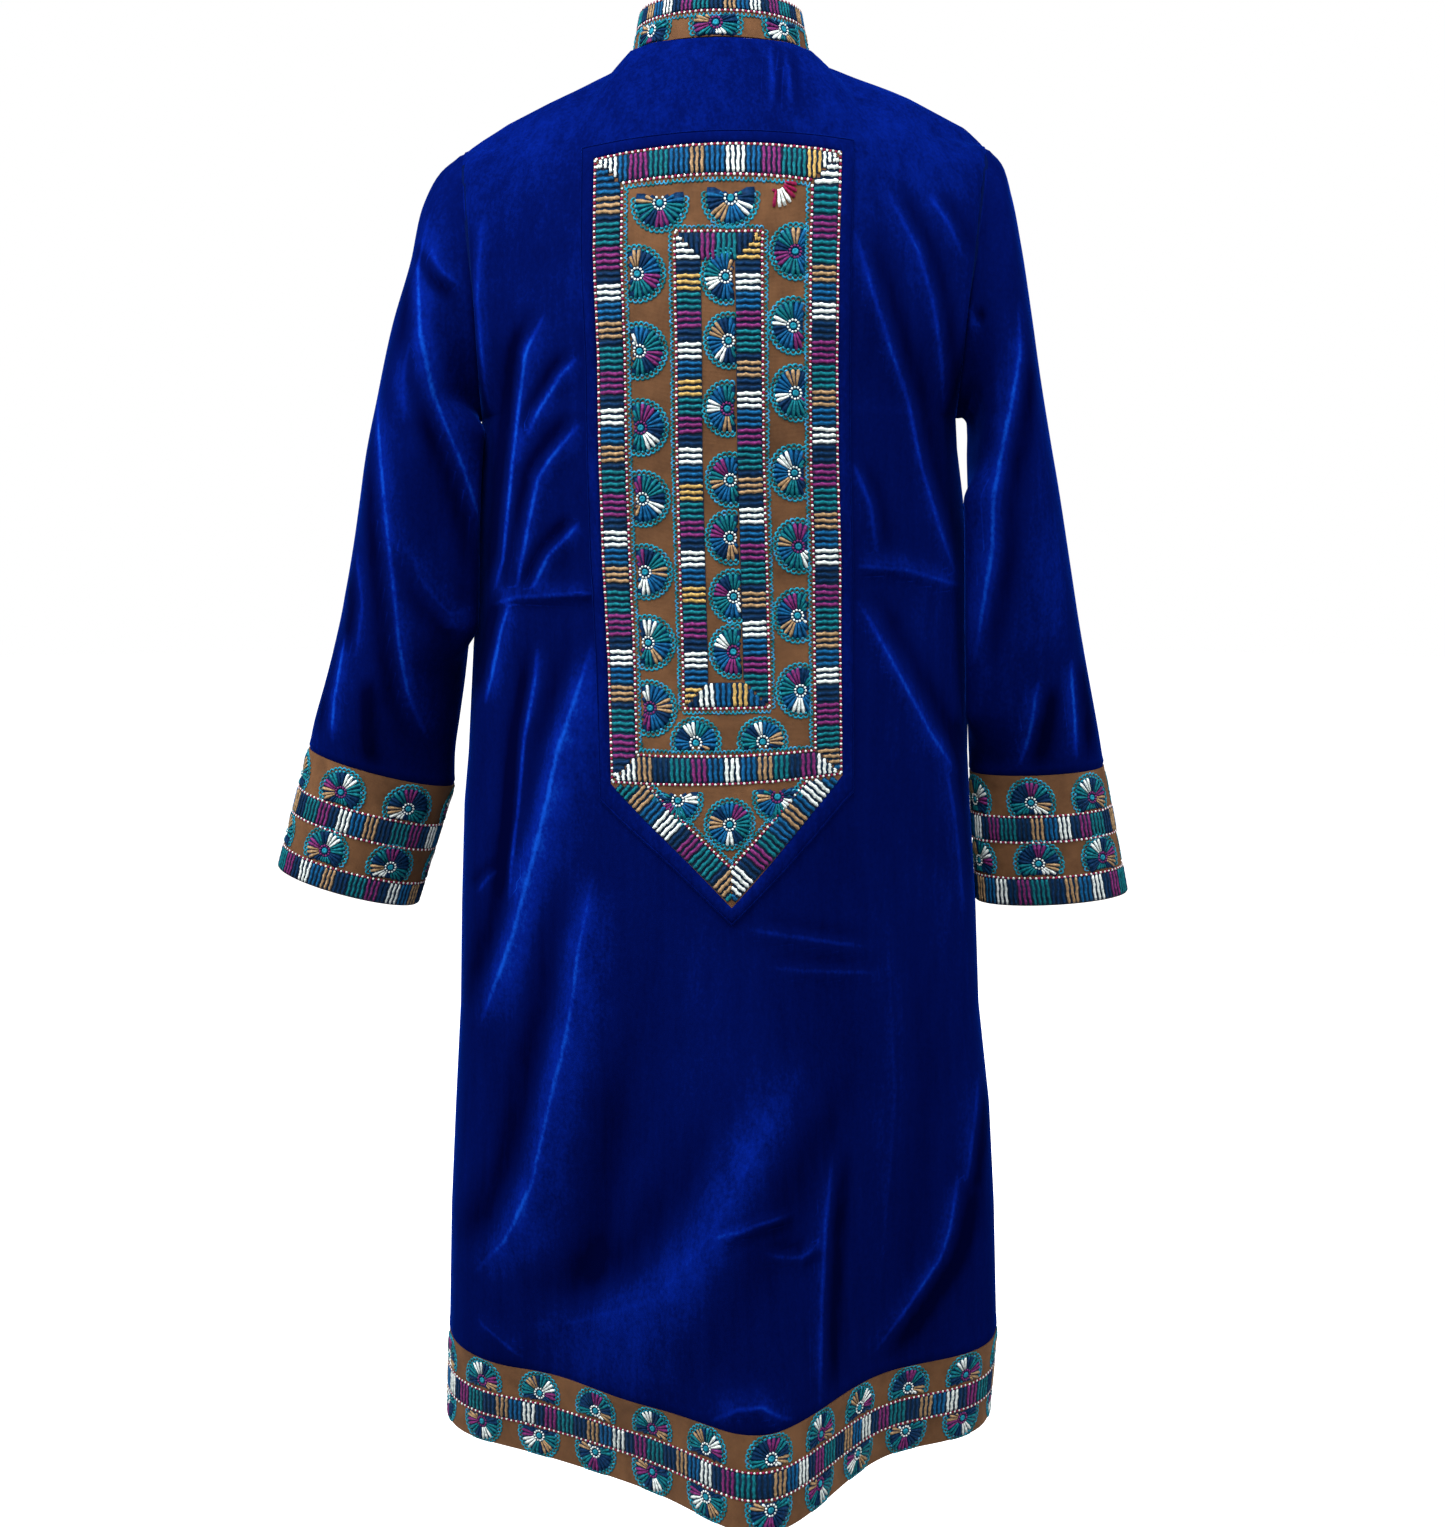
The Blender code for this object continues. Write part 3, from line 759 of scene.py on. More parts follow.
@dataclass(frozen=True)
class CoatForm:
    """Surfaces of the coat's body and sleeves, from its cut sizes."""

    neck_half: float = 0.065
    neck_back: float = 0.065
    neck_front: float = 0.075
    neck_drop: float = 0.058
    collar_height: float = 0.032
    collar_lean: float = 0.20
    armpit_z: float = -0.262
    hem_seam_z: float = -0.981
    hem_z: float = -1.050
    armhole_depth: float = 0.058
    armhole_inset: float = 0.006
    front_gap: float = 0.00004
    relief: float = 1.7
    shoulder_z: tuple = (-0.068, -0.064)
    shoulder_x: tuple = (0.190, 0.196)
    armpit_x: tuple = (0.180, 0.177)
    shoulder_lines: tuple = (
        ((0.065, -0.001), (0.083, -0.012), (0.119, -0.030), (0.157, -0.048), (0.190, -0.068)),
        ((0.065, -0.001), (0.092, -0.012), (0.138, -0.030), (0.179, -0.050), (0.196, -0.064)),
    )
    halves: tuple = (
        (-0.262, 0.1800, 0.1770),
        (-0.285, 0.1830, 0.1785),
        (-0.310, 0.1845, 0.1820),
        (-0.340, 0.1860, 0.1860),
        (-0.400, 0.1870, 0.1885),
        (-0.437, 0.1900, 0.1890),
        (-0.476, 0.1925, 0.1900),
        (-0.515, 0.1950, 0.1905),
        (-0.554, 0.1990, 0.1930),
        (-0.633, 0.2025, 0.1990),
        (-0.714, 0.2050, 0.2030),
        (-0.796, 0.2105, 0.2130),
        (-0.879, 0.2155, 0.2185),
        (-0.981, 0.2190, 0.2225),
        (-1.050, 0.2220, 0.2180),
    )
    depths: tuple = (
        (-0.262, 0.118, 0.125, 0.00),
        (-0.340, 0.114, 0.130, 0.02),
        (-0.400, 0.112, 0.128, 0.05),
        (-0.460, 0.118, 0.131, 0.08),
        (-0.550, 0.126, 0.138, 0.12),
        (-0.650, 0.131, 0.146, 0.15),
        (-0.800, 0.136, 0.156, 0.19),
        (-0.981, 0.140, 0.165, 0.22),
        (-1.050, 0.141, 0.168, 0.23),
    )
    back_folds: tuple = (
        (-0.020, -0.640, -0.033, -1.050, 0.042, 0.000, 0.058),
        (0.088, -0.640, 0.172, -0.960, 0.026, 0.002, 0.012),
        (-0.060, -0.740, 0.058, -0.960, 0.030, 0.000, 0.012),
        (-0.105, -0.700, -0.125, -1.050, 0.028, 0.000, -0.008),
        (0.115, -0.180, 0.150, -0.400, 0.018, 0.002, 0.009),
        (-0.110, -0.140, -0.165, -0.390, 0.018, 0.002, 0.008),
        (-0.110, -0.420, -0.170, -0.560, 0.020, 0.004, 0.008),
    )
    front_folds: tuple = (
        (0.080, -0.560, 0.095, -1.050, 0.036, 0.000, 0.022),
        (-0.075, -0.600, -0.088, -1.050, 0.040, 0.000, 0.018),
        (0.110, -0.300, 0.150, -0.480, 0.022, 0.006, 0.003),
        (-0.120, -0.280, -0.155, -0.460, 0.022, 0.005, 0.003),
    )
    back_creases: tuple[Crease, ...] = (
        Crease(((123, -193), (138, -220), (144, -254), (151, -303), (159, -366), (169, -394)), 3, 6, 9,
               0.20, 1.0),
        Crease(((99, -224), (113, -238), (129, -261), (139, -280)), 2, 5, 6),
        Crease(((97, -268), (120, -294), (130, -308), (135, -329), (142, -359), (149, -390)), 2.4, 6, 8,
               0.20),
        Crease(((99, -338), (109, -349), (123, -362), (132, -379), (138, -391)), 1.8, 5, 6),
        Crease(((170, -400), (148, -393), (87, -389)), 2.6, 3, 6, 0.15, 0.6, 0.0),
        Crease(((153, -392), (162, -420), (172, -459), (177, -475)), 2.8, 6, 9, 0.25, 1.0),
        Crease(((133, -425), (135, -451), (138, -467), (144, -495), (150, -553), (155, -587),
               (158, -622)), 2.4, 5, 7, 0.20),
        Crease(((90, -420), (111, -483), (119, -505), (127, -542), (138, -584), (147, -615), (154, -641),
               (167, -676), (185, -722)), 3.8, 10, 13, 0.20, 1.35, 0.6, 0.35),
        Crease(((164, -595), (175, -604), (185, -618)), 1, 4, 4, 0.30, 0.4, 0.3),
        Crease(((92, -590), (104, -649), (109, -690), (117, -727), (126, -761), (141, -828), (163, -877),
               (193, -918)), 5.2, 13, 12, 0.20, 1.20, 0.6, 0.45),
        Crease(((-66, -715), (-39, -762), (-21, -787), (7, -838), (48, -896), (108, -934), (160, -946)),
               3.6, 18, 20, 0.30, 0.9, 0.5, 0.85),
        Crease(((8, -842), (-3, -838), (-28, -831), (-54, -829)), 1.2, 4, 4, 0.30, 0.5, 0.3),
        Crease(((-30, -852), (-40, -857), (-58, -863), (-78, -858)), 1.2, 4, 4, 0.30, 0.4, 0.3),
        Crease(((-82, -790), (-76, -848), (-73, -906), (-72, -979)), 2, 4, 6, 0.25, 0.6),
        Crease(((10, -978), (-10, -962), (-29, -959), (-54, -978)), 2.6, 10, 9, 0.30, 0.6, 0.0),
        Crease(((150, -972), (170, -958), (190, -950)), 1.6, 8, 8, 0.30, 0.4, 0.0),
        Crease(((-15, -626), (-57, -635), (-110, -648)), 1, 5, 5, 0.35, 0.35, 0.2),
        Crease(((-32, -655), (-72, -661), (-120, -668)), 1, 5, 5, 0.35, 0.30, 0.2),
        Crease(((-183, -830), (-175, -876), (-168, -896), (-143, -929), (-114, -964)), 2.6, 7, 9, 0.25,
               0.7),
        Crease(((-200, -760), (-188, -850)), 2, 8, 6, 0.35, 0.5),
        Crease(((-92, -135), (-106, -182), (-118, -216), (-133, -254), (-144, -300), (-160, -345),
               (-179, -388)), 2.2, 5, 7, 0.20, 0.6, 0.4),
        Crease(((-113, -100), (-121, -119), (-139, -151), (-150, -185), (-159, -230), (-163, -262)), 2,
               5, 6, 0.25, 0.5, 0.4),
        Crease(((-146, -108), (-162, -131), (-173, -153)), 1.4, 5, 5, 0.30, 0.4, 0.3),
        Crease(((-93, -296), (-96, -304), (-106, -327), (-112, -364)), 1.6, 4, 5, 0.30, 0.5, 0.3),
        Crease(((-96, -370), (-132, -373), (-157, -380), (-180, -386)), 2.2, 3, 6, 0.15, 0.5, 0.0),
        Crease(((-98, -394), (-122, -436), (-138, -464), (-155, -494), (-180, -530)), 2.8, 6, 8, 0.20,
               0.7, 0.4),
        Crease(((-160, -480), (-176, -560), (-186, -640)), 1.8, 8, 8, 0.35, 0.4),
        Crease(((70, -700), (82, -800), (98, -900), (112, -975)), -3, 14, 12, 0.30, 0.0, 0.3),
        Crease(((-120, -600), (-130, -760), (-118, -940)), 2.2, 18, 14, 0.35, 0.15, 0.15),
        Crease(((170, -122), (174, -179), (172, -236), (169, -262)), 0.8, 4, 5, 0.30, 0.5, 0.3),
        Crease(((-34, -4), (-36, -30), (-35, -56)), 0.6, 3, 3, 0.35, 0.35, 0.3),
        Crease(((-45, -6), (-48, -34), (-49, -60)), 0.6, 3, 3, 0.35, 0.30, 0.3),
    )
    front_creases: tuple[Crease, ...] = (
        Crease(((62, -120), (88, -175), (118, -232), (141, -262)), 1.8, 8, 10, 0.35, 0.45, 0.3, 0.3),
        Crease(((-71, -95), (-98, -170), (-126, -228)), 1.6, 9, 8, 0.35, 0.4, 0.3, 0.3),
        Crease(((174, -285), (150, -335), (138, -372)), 2.2, 7, 9, 0.35, 0.5, 0.35),
        Crease(((172, -352), (128, -418), (104, -486), (98, -530)), 2.2, 8, 11, 0.35, 0.5, 0.3, 0.4),
        Crease(((-170, -290), (-141, -352), (-127, -430)), 2.2, 8, 10, 0.35, 0.5, 0.35),
        Crease(((-158, -410), (-139, -462), (-130, -520), (-133, -590)), 1.8, 7, 9, 0.35, 0.4, 0.3),
        Crease(((118, -560), (131, -660), (136, -780), (152, -976)), 4, 12, 14, 0.40, 0.6, 0.35, 0.4),
        Crease(((-92, -640), (-112, -740), (-138, -860), (-142, -976)), 4.2, 14, 12, 0.40, 0.6, 0.35, 0.4),
        Crease(((52, -690), (60, -800), (49, -976)), 2.6, 12, 14, 0.40, 0.4, 0.3, 0.6),
        Crease(((-31, -780), (-46, -880), (-40, -978)), 2.2, 10, 14, 0.40, 0.35, 0.3, 0.6),
        Crease(((176, -600), (170, -720), (182, -840)), 2.4, 9, 9, 0.40, 0.4, 0.3),
    )

    def top_z(self, x: Array, face: Face) -> Array:
        """Height of the neck edge or the shoulder line.

        Args:
            x: Distances from the centre.
            face: Back or front.

        Returns:
            Heights.
        """
        drop = self.neck_drop if face is Face.FRONT else 0.0
        ring = -0.001 - drop * np.sqrt(np.clip(1.0 - (x / self.neck_half) ** 2, 0.0, 1.0))
        lines = [np.interp(np.abs(x), *np.array(line).T) for line in self.shoulder_lines]
        slope = np.where(x >= 0, lines[0], lines[1])
        return np.where(np.abs(x) < self.neck_half, ring, slope)

    def ring_angle(self, z: Array, left: Array) -> Array:
        """Angle round the armhole: 0 at the shoulder, pi at the armpit.

        Args:
            z: Heights.
            left: True on the wearer's left.

        Returns:
            Angles.
        """
        top = np.where(left, self.shoulder_z[0], self.shoulder_z[1])
        middle = 0.5 * (top + self.armpit_z)
        half = 0.5 * (top - self.armpit_z)
        return np.arccos(np.clip((z - middle) / half, -1.0, 1.0))

    def edge_x(self, z: Array, left: Array) -> Array:
        """Distance of the armhole or side seam from the centre.

        Args:
            z: Heights.
            left: True on the wearer's left.

        Returns:
            Distances.
        """
        low = np.where(left, column(self.halves, z, 1), column(self.halves, z, 2))
        angle = self.ring_angle(z, left)
        share = 0.5 * (1.0 + np.cos(angle))
        pit = np.where(left, *self.armpit_x)
        tip = np.where(left, *self.shoulder_x)
        high = pit + (tip - pit) * share - self.armhole_inset * np.sin(angle)
        return np.where(z <= self.armpit_z, low, high)

    def swell(self, x: Array, z: Array, face: Face) -> Array:
        """Outward swell of the large folds.

        Args:
            x: Distances from the centre.
            z: Heights.
            face: Back or front.

        Returns:
            Shifts.
        """
        total = np.zeros(np.shape(x))
        for x0, z0, x1, z1, half, start, end in self.back_folds if face is Face.BACK else self.front_folds:
            share = (z0 - z) / (z0 - z1)
            fade = ease((share + 0.25) / 0.5) * ease((1.35 - share) / 0.35)
            middle = x0 + (x1 - x0) * share
            height = start + (end - start) * np.clip(share, 0.0, 1.0)
            total += fade * height * np.exp(-0.5 * ((x - middle) / half) ** 2)
        for crease in self.back_creases if face is Face.BACK else self.front_creases:
            total += self.relief * crease.swell(x, z)
        return total

    def painted_sheen_shade(self, x: Array, z: Array, face: Face) -> dict[str, Array]:
        """Highlights and shade painted into the velvet's colour: painted top light over the shoulders,
        painted highlights and shade along the folds.

        Args:
            x: Distances from the centre.
            z: Heights.
            face: Back or front.

        Returns:
            Its attributes by name.
        """
        # Painted top light: brighter over the shoulders, darker lower down.
        base = 0.20 * ease((z + 0.30) / 0.24) - 0.10
        return paint_light_and_shade(self.back_creases if face is Face.BACK else self.front_creases, base, x, z)

    def depth(self, x: Array, z: Array, face: Face) -> Array:
        """Depth of the body from the side plane, positive on both faces.

        Args:
            x: Distances from the centre.
            z: Heights.
            face: Back or front.

        Returns:
            Depths.
        """
        left = x >= 0
        front = face is Face.FRONT
        reach = column(self.depths, z, 2 if front else 1)
        across = np.clip(np.abs(x) / self.edge_x(z, left), 0.0, 1.0)
        angle = np.arcsin(across)
        flat = column(self.depths, z, 3) * (0.4 if front else 1.0)
        low = reach * np.cos(angle) * (1.0 - flat * np.sin(2.0 * angle) ** 2)
        top = self.top_z(x, face)
        rise = np.clip((z - self.armpit_z) / np.maximum(top - self.armpit_z, 1e-6), 0.0, 1.0)
        inner = ease((0.130 - np.abs(x)) / 0.090)
        weight = (1.0 - rise ** 3.0) ** (0.5 + 0.5 * inner)
        edge = across ** 12
        turn = np.sin(self.ring_angle(z, left)) * (edge + (1.0 - edge) * ease((z - self.armpit_z) / 0.06))
        round_y = reach * (1.0 - across ** (2.0 + 0.6 * turn ** 2)) ** (0.5 + 0.25 * turn ** 2)
        hole = self.neck_front if front else self.neck_back
        spread = self.neck_half + 0.10 * np.sqrt(1.0 - rise)
        neck = hole * np.clip(1.0 - (x / spread) ** 2, 0.0, 1.0) ** np.minimum(0.5 + 2.0 * (1.0 - rise), 1.5)
        high = weight * round_y + (1.0 - weight) * neck + self.armhole_depth * turn * across ** 5
        under = z <= self.armpit_z
        hold = np.where(under, 1.0, weight) * (1.0 - across ** 6)
        return np.where(under, low, high) + hold * self.swell(x, z, face)

    def body_grid(self, face: Face, start: float, end: float, columns: int, rows: int) -> Array:
        """Grid of one face of the body, from neck and shoulder to the hem seam.

        Args:
            face: Back or front.
            start: First column's place, from -1 at the wearer's right to 1 at the left.
            end: Last column's place.
            columns: Points across.
            rows: Points down.

        Returns:
            Rows by columns by 3.
        """
        neck = 0.25
        u = np.linspace(start, end, columns)
        for mark in (-neck, neck):
            if start < mark < end or end < mark < start:
                u[np.argmin(np.abs(u - mark))] = mark
        left = u >= 0 if abs(start + end) < 0.1 else np.full(columns, start + end > 0)
        sign = np.where(left, 1.0, -1.0)
        side_u = np.abs(u)
        tip = np.where(left, *self.shoulder_x)
        outer = self.neck_half + (tip - self.neck_half) * (side_u - neck) / (1.0 - neck)
        ring_x = self.neck_half * np.sin(0.5 * math.pi * np.clip(side_u / neck, 0.0, 1.0))
        top_x = np.where(side_u <= neck, ring_x, outer)
        pit_row = 0.27
        v = np.linspace(0.0, 1.0, rows)
        v[np.argmin(np.abs(v - pit_row))] = pit_row
        shoulder = np.where(left, *self.shoulder_z)
        grid = np.zeros((rows, columns, 3))
        top_z = self.top_z(sign * top_x, face)
        middle_top = -0.001 - (self.neck_drop if face is Face.FRONT else 0.0)
        for row, share in enumerate(v):
            if share <= pit_row:
                turn = math.pi * share / pit_row
                side_z = shoulder - (shoulder - self.armpit_z) * 0.5 * (1.0 - math.cos(turn))
            else:
                below = (share - pit_row) / (1.0 - pit_row)
                side_z = self.armpit_z + (self.hem_seam_z - self.armpit_z) * below
            middle_z = middle_top + (self.hem_seam_z - middle_top) * share
            low_z = middle_z + (side_z - middle_z) * ease(side_u)
            early = share / 0.06
            z = low_z if early >= 1.0 else top_z + (low_z - top_z) * early
            z = np.where(side_u > 0.999, side_z, z)
            edge = self.edge_x(z, left)
            low_x = edge * np.sin(0.5 * math.pi * side_u)
            mix = float(ease(np.array(share / 0.16)))
            x = sign * (top_x + (low_x - top_x) * mix)
            if face is Face.FRONT:
                x = np.where(side_u < 1e-6, sign * 0.5 * self.front_gap, x)
            x = np.where(side_u > 0.999, sign * edge, x)
            y = self.depth(x, z, face)
            if row == 0:
                hole = self.neck_front if face is Face.FRONT else self.neck_back
                angle = 0.5 * math.pi * np.clip(side_u / neck, 0.0, 1.0)
                y = np.where(side_u <= neck, hole * np.cos(angle), 0.0)
            grid[row] = np.stack([x, y * (1.0 if face is Face.BACK else -1.0), z], axis=-1)
        return grid

    def hem_grid(self, seam: Array, face: Face, rows: int) -> Array:
        """Grid of a hem band below a row of hem seam points.

        Args:
            seam: Points of the seam.
            face: Back or front.
            rows: Points down.

        Returns:
            Rows by columns by 3.
        """
        x, y, z = seam.T
        left = x >= 0
        grid = np.zeros((rows, len(seam), 3))
        for row in range(rows):
            low = z + (self.hem_z - self.hem_seam_z) * row / (rows - 1)
            wide = x * self.edge_x(low, left) / self.edge_x(z, left)
            deep = self.depth(wide, low, face) * (1.0 if face is Face.BACK else -1.0)
            deep = np.where(np.abs(y) < 1e-6, 0.0, deep)
            grid[row] = np.stack([wide, deep, low], axis=-1)
        return grid


@dataclass(frozen=True)
class SleeveForm:
    """One sleeve and its cuff.

    A ring's six sizes are its outer x and z, its inner x and z, its half depth and its middle's y, in
    millimetres. The lap is where the fold over the body starts, is full, is last full and ends, then its
    reach.
    """

    side: Side
    rings: tuple
    cuff_end: tuple
    creases: tuple[Crease, ...]
    lap: tuple[float, float, float, float, float]

    def armhole(self, coat: CoatForm, columns: int) -> Array:
        """Points round the armhole, shoulder first, over the back.

        Args:
            coat: The body's form.
            columns: Points round it.

        Returns:
            Columns by 3.
        """
        angle = math.tau * np.arange(columns) / columns
        left = np.full(columns, self.side is Side.LEFT)
        top = np.where(left, *coat.shoulder_z)
        z = 0.5 * (top + coat.armpit_z) + 0.5 * (top - coat.armpit_z) * np.cos(angle)
        x = coat.edge_x(np.maximum(z, coat.armpit_z + 1e-9), left) * self.side.value
        return np.stack([x, coat.armhole_depth * np.sin(angle), z], axis=-1)

    def ring(self, sizes: Array, columns: int) -> Array:
        """Points round one ring, outer point first, over the back.

        Args:
            sizes: The ring's six sizes.
            columns: Points round it.

        Returns:
            Columns by 3.
        """
        angle = math.tau * np.arange(columns) / columns
        share = 0.5 * (1.0 + np.cos(angle))
        x = self.side.value * (sizes[2] + (sizes[0] - sizes[2]) * share)
        z = sizes[3] + (sizes[1] - sizes[3]) * share
        return np.stack([x, sizes[5] + sizes[4] * np.sin(angle), z], axis=-1)

    def sleeve_grid(self, coat: CoatForm, columns: int, rows: int) -> Array:
        """Grid of the sleeve from the armhole to the cuff.

        Args:
            coat: The body's form.
            columns: Points round it.
            rows: Points along it.

        Returns:
            Rows by columns by 3.
        """
        rings = [self.ring(sizes, columns) for sizes in np.array(self.rings) / 1000.0]
        grid = self.fold_over(spline_rows(np.array([self.armhole(coat, columns), *rings]), rows))
        normals = grid_normals(grid, True, self.side is Side.RIGHT)
        rear = np.clip(normals[..., 1], 0.0, 1.0)
        fore = np.clip(-normals[..., 1], 0.0, 1.0)
        shift = np.zeros(grid.shape[:2])
        for index, crease in enumerate(self.creases):
            swell = crease.swell(grid[..., 0], grid[..., 2])
            lower = crease.swell(grid[..., 0], grid[..., 2] + 0.03 * (index % 3 - 1))
            shift += rear * swell + fore * 0.8 * lower
        ends = ease(np.linspace(0.0, 1.0, rows) / 0.06) * ease((1.0 - np.linspace(0.0, 1.0, rows)) / 0.05)
        return grid + normals * (shift * ends[:, None])[..., None]

    def fold_over(self, grid: Array) -> Array:
        """Lets the slack at the back of the sleeve hang in over the body's side.

        Args:
            grid: The sleeve's points.

        Returns:
            The grid with the fold.
        """
        start, full, last, end, reach = self.lap
        angle = math.tau * np.arange(grid.shape[1]) / grid.shape[1]
        near = np.exp(-(((angle - 2.45) / 0.42) ** 2))[None, :]
        z = grid[..., 2]
        shift = reach * near * ease((start - z) / (start - full)) * ease((z - end) / (last - end))
        return grid + np.stack([-self.side.value * shift, 0.35 * shift, np.zeros(shift.shape)], axis=-1)

    def painted_sheen_shade(self, grid: Array) -> dict[str, Array]:
        """Highlights and shade painted into the sleeve's velvet colour along its folds, faded where the
        sleeve turns sideways.

        Args:
            grid: The sleeve's points.

        Returns:
            Its attributes by name.
        """
        plain = np.full(grid.shape[:2], -0.04)
        # Painted highlights and shade along the folds, faded out on the sides that turn sideways.
        pile = paint_light_and_shade(self.creases, plain, grid[..., 0], grid[..., 2])
        facing = ease(np.abs(grid_normals(grid, True, False)[..., 1]) / 0.55)
        pile["painted_sheen_shade"] = plain + (pile["painted_sheen_shade"] - plain) * facing
        pile["painted_highlight"] = pile["painted_highlight"] * facing
        return pile

    def cuff_grid(self, columns: int, rows: int) -> Array:
        """Grid of the cuff.

        Args:
            columns: Points round it.
            rows: Points along it.

        Returns:
            Rows by columns by 3.
        """
        first, last = np.array([self.rings[-1], self.cuff_end]) / 1000.0
        shares = np.linspace(0.0, 1.0, rows)
        return np.array([self.ring(first + (last - first) * share, columns) for share in shares])


def spline_rows(knots: Array, rows: int) -> Array:
    """Smooth rows through rings of points, evenly spaced along the sleeve.

    Args:
        knots: Rings by columns by 3.
        rows: Rows wanted.

    Returns:
        Rows by columns by 3.
    """
    steps = np.linalg.norm(np.diff(knots.mean(axis=1), axis=0), axis=1)
    reach = np.concatenate([[0.0], np.cumsum(steps)])
    tangents = np.gradient(knots, reach, axis=0)
    result = []
    for place in np.linspace(0.0, reach[-1], rows):
        k = min(int(np.searchsorted(reach, place, side="right")) - 1, len(reach) - 2)
        span = reach[k + 1] - reach[k]
        t = (place - reach[k]) / span
        a, b = 2 * t ** 3 - 3 * t ** 2 + 1, t ** 3 - 2 * t ** 2 + t
        c, d = -2 * t ** 3 + 3 * t ** 2, t ** 3 - t ** 2
        result.append(a * knots[k] + b * span * tangents[k] + c * knots[k + 1] + d * span * tangents[k + 1])
    return np.array(result)


def seam_dip(points: Array, flip: bool, closed: bool, edges: str) -> Array:
    """Draws the cloth in along its seams and rolls it just beside them.

    Args:
        points: Rows by columns by 3.
        flip: Whether the grid's normals are turned over.
        closed: Whether the columns join up.
        edges: Letters of the sewn edges: t, b, l and r.

    Returns:
        The shifted grid.
    """
    normals = grid_normals(points, closed, flip)
    down = arc_lengths(points, 0)
    across = arc_lengths(points, 1)
    gaps = {"t": down, "b": down[-1] - down, "l": across, "r": across[:, -1:] - across}
    shift = np.zeros(points.shape[:2])
    for edge in edges:
        away = gaps[edge] / GROOVE_WIDTH
        shift += 0.45 * np.exp(-(((away - 2.4) / 1.3) ** 2)) - np.exp(-(away ** 2))
    return points + SEAM_GROOVE * normals * shift[..., None]


def declare(piece: Piece, node: str) -> None:
    """Ties a cloth piece to the coat's model, hides the model's part it stands for and logs its face count.

    Args:
        piece: The visual piece.
        node: The node it stands for.
    """
    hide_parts(node)
    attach(piece, BODY)
    LOG.info("%s: %d faces", piece.name, len(piece.data.polygons))


@dataclass
class Body:
    """The velvet back and the two fronts."""

    form: CoatForm
    wardrobe: Wardrobe
    columns: int = 177
    rows: int = 230
    front_rows: int = 140
    wall: float = 0.0016
    grids: dict = field(default_factory=dict)

    def build(self) -> None:
        """Makes the three velvet body pieces."""
        half = (self.columns + 1) // 2
        cuts = (
            ("back", Face.BACK, -1.0, 1.0, self.columns, False, "tblr"),
            ("front_left", Face.FRONT, 0.0, 1.0, half, True, "tbr"),
            ("front_right", Face.FRONT, 0.0, -1.0, half, False, "tbr"),
        )
        for node, face, start, end, columns, flip, edges in cuts:
            rows = self.rows if face is Face.BACK else self.front_rows
            grid = self.form.body_grid(face, start, end, columns, rows)
            self.grids[node] = grid
            dipped = seam_dip(grid, flip, False, edges)
            piece = cloth_piece(
                node + "_velvet", dipped, False, flip, self.wall, self.wardrobe.velvet,
                self.form.painted_sheen_shade(grid[..., 0], grid[..., 2], face), self.trim(grid, node)
            )
            declare(piece, node)

    def trim(self, grid: Array, node: str) -> Array:
        """Share of the wall at each point, thinned where the armhole seam folds it away.

        Args:
            grid: The piece's points.
            node: The piece's node.

        Returns:
            Shares of the wall.
        """
        across = arc_lengths(grid, 1)
        gap = across[:, -1:] - across
        if node == "back":
            gap = np.minimum(gap, across)
        above = grid[:, -1:, 2] > self.form.armpit_z
        thinned, least = 0.006, 0.08
        return np.where(above, np.clip(gap / thinned, least, 1.0), 1.0)


@dataclass
class HemBand:
    """The embroidered band below the velvet, in one back and two front lengths."""

    form: CoatForm
    wardrobe: Wardrobe
    body: Body
    rows: int = 24
    wall: float = 0.0018
    charts: dict = field(default_factory=dict)

    def build(self) -> None:
        """Makes the three lengths."""
        cuts = (
            ("hem_band_back", "back", Face.BACK, False),
            ("hem_band_front_left", "front_left", Face.FRONT, True),
            ("hem_band_front_right", "front_right", Face.FRONT, False),
        )
        for node, above, face, flip in cuts:
            grid = self.form.hem_grid(self.body.grids[above][-1], face, self.rows)
            chart = Chart.of(grid, False, flip)
            self.charts[node] = chart
            piece = cloth_piece(node + "_cloth", grid, False, flip, self.wall, self.wardrobe.brown)
            declare(piece, node)


@dataclass
class Collar:
    """The stand collar, closed at the centre front edge to edge."""

    form: CoatForm
    wardrobe: Wardrobe
    body: Body
    rows: int = 14
    wall: float = 0.0018
    chart: Chart | None = None

    def build(self) -> None:
        """Makes the collar on the neck edge."""
        neck = (self.body.columns - 1) // 8
        middle = (self.body.columns - 1) // 2
        right = self.body.grids["front_right"][0][: neck + 1]
        left = self.body.grids["front_left"][0][: neck + 1][::-1]
        back = self.body.grids["back"][0][middle - neck + 1 : middle + neck]
        ring = np.concatenate([right, back, left])
        reach = np.hypot(ring[:, 0], ring[:, 1])
        rise = self.form.collar_height / math.hypot(1.0, self.form.collar_lean)
        grid = []
        for share in np.linspace(1.0, 0.0, self.rows):
            shift = (1.0 - self.form.collar_lean * rise * share / reach)[:, None]
            grid.append(np.concatenate([ring[:, :2] * shift, ring[:, 2:] + rise * share], axis=1))
        grid = np.array(grid)
        self.chart = Chart.of(grid, False, False)
        piece = cloth_piece("collar_cloth", grid, False, False, self.wall, self.wardrobe.brown)
        declare(piece, "collar")


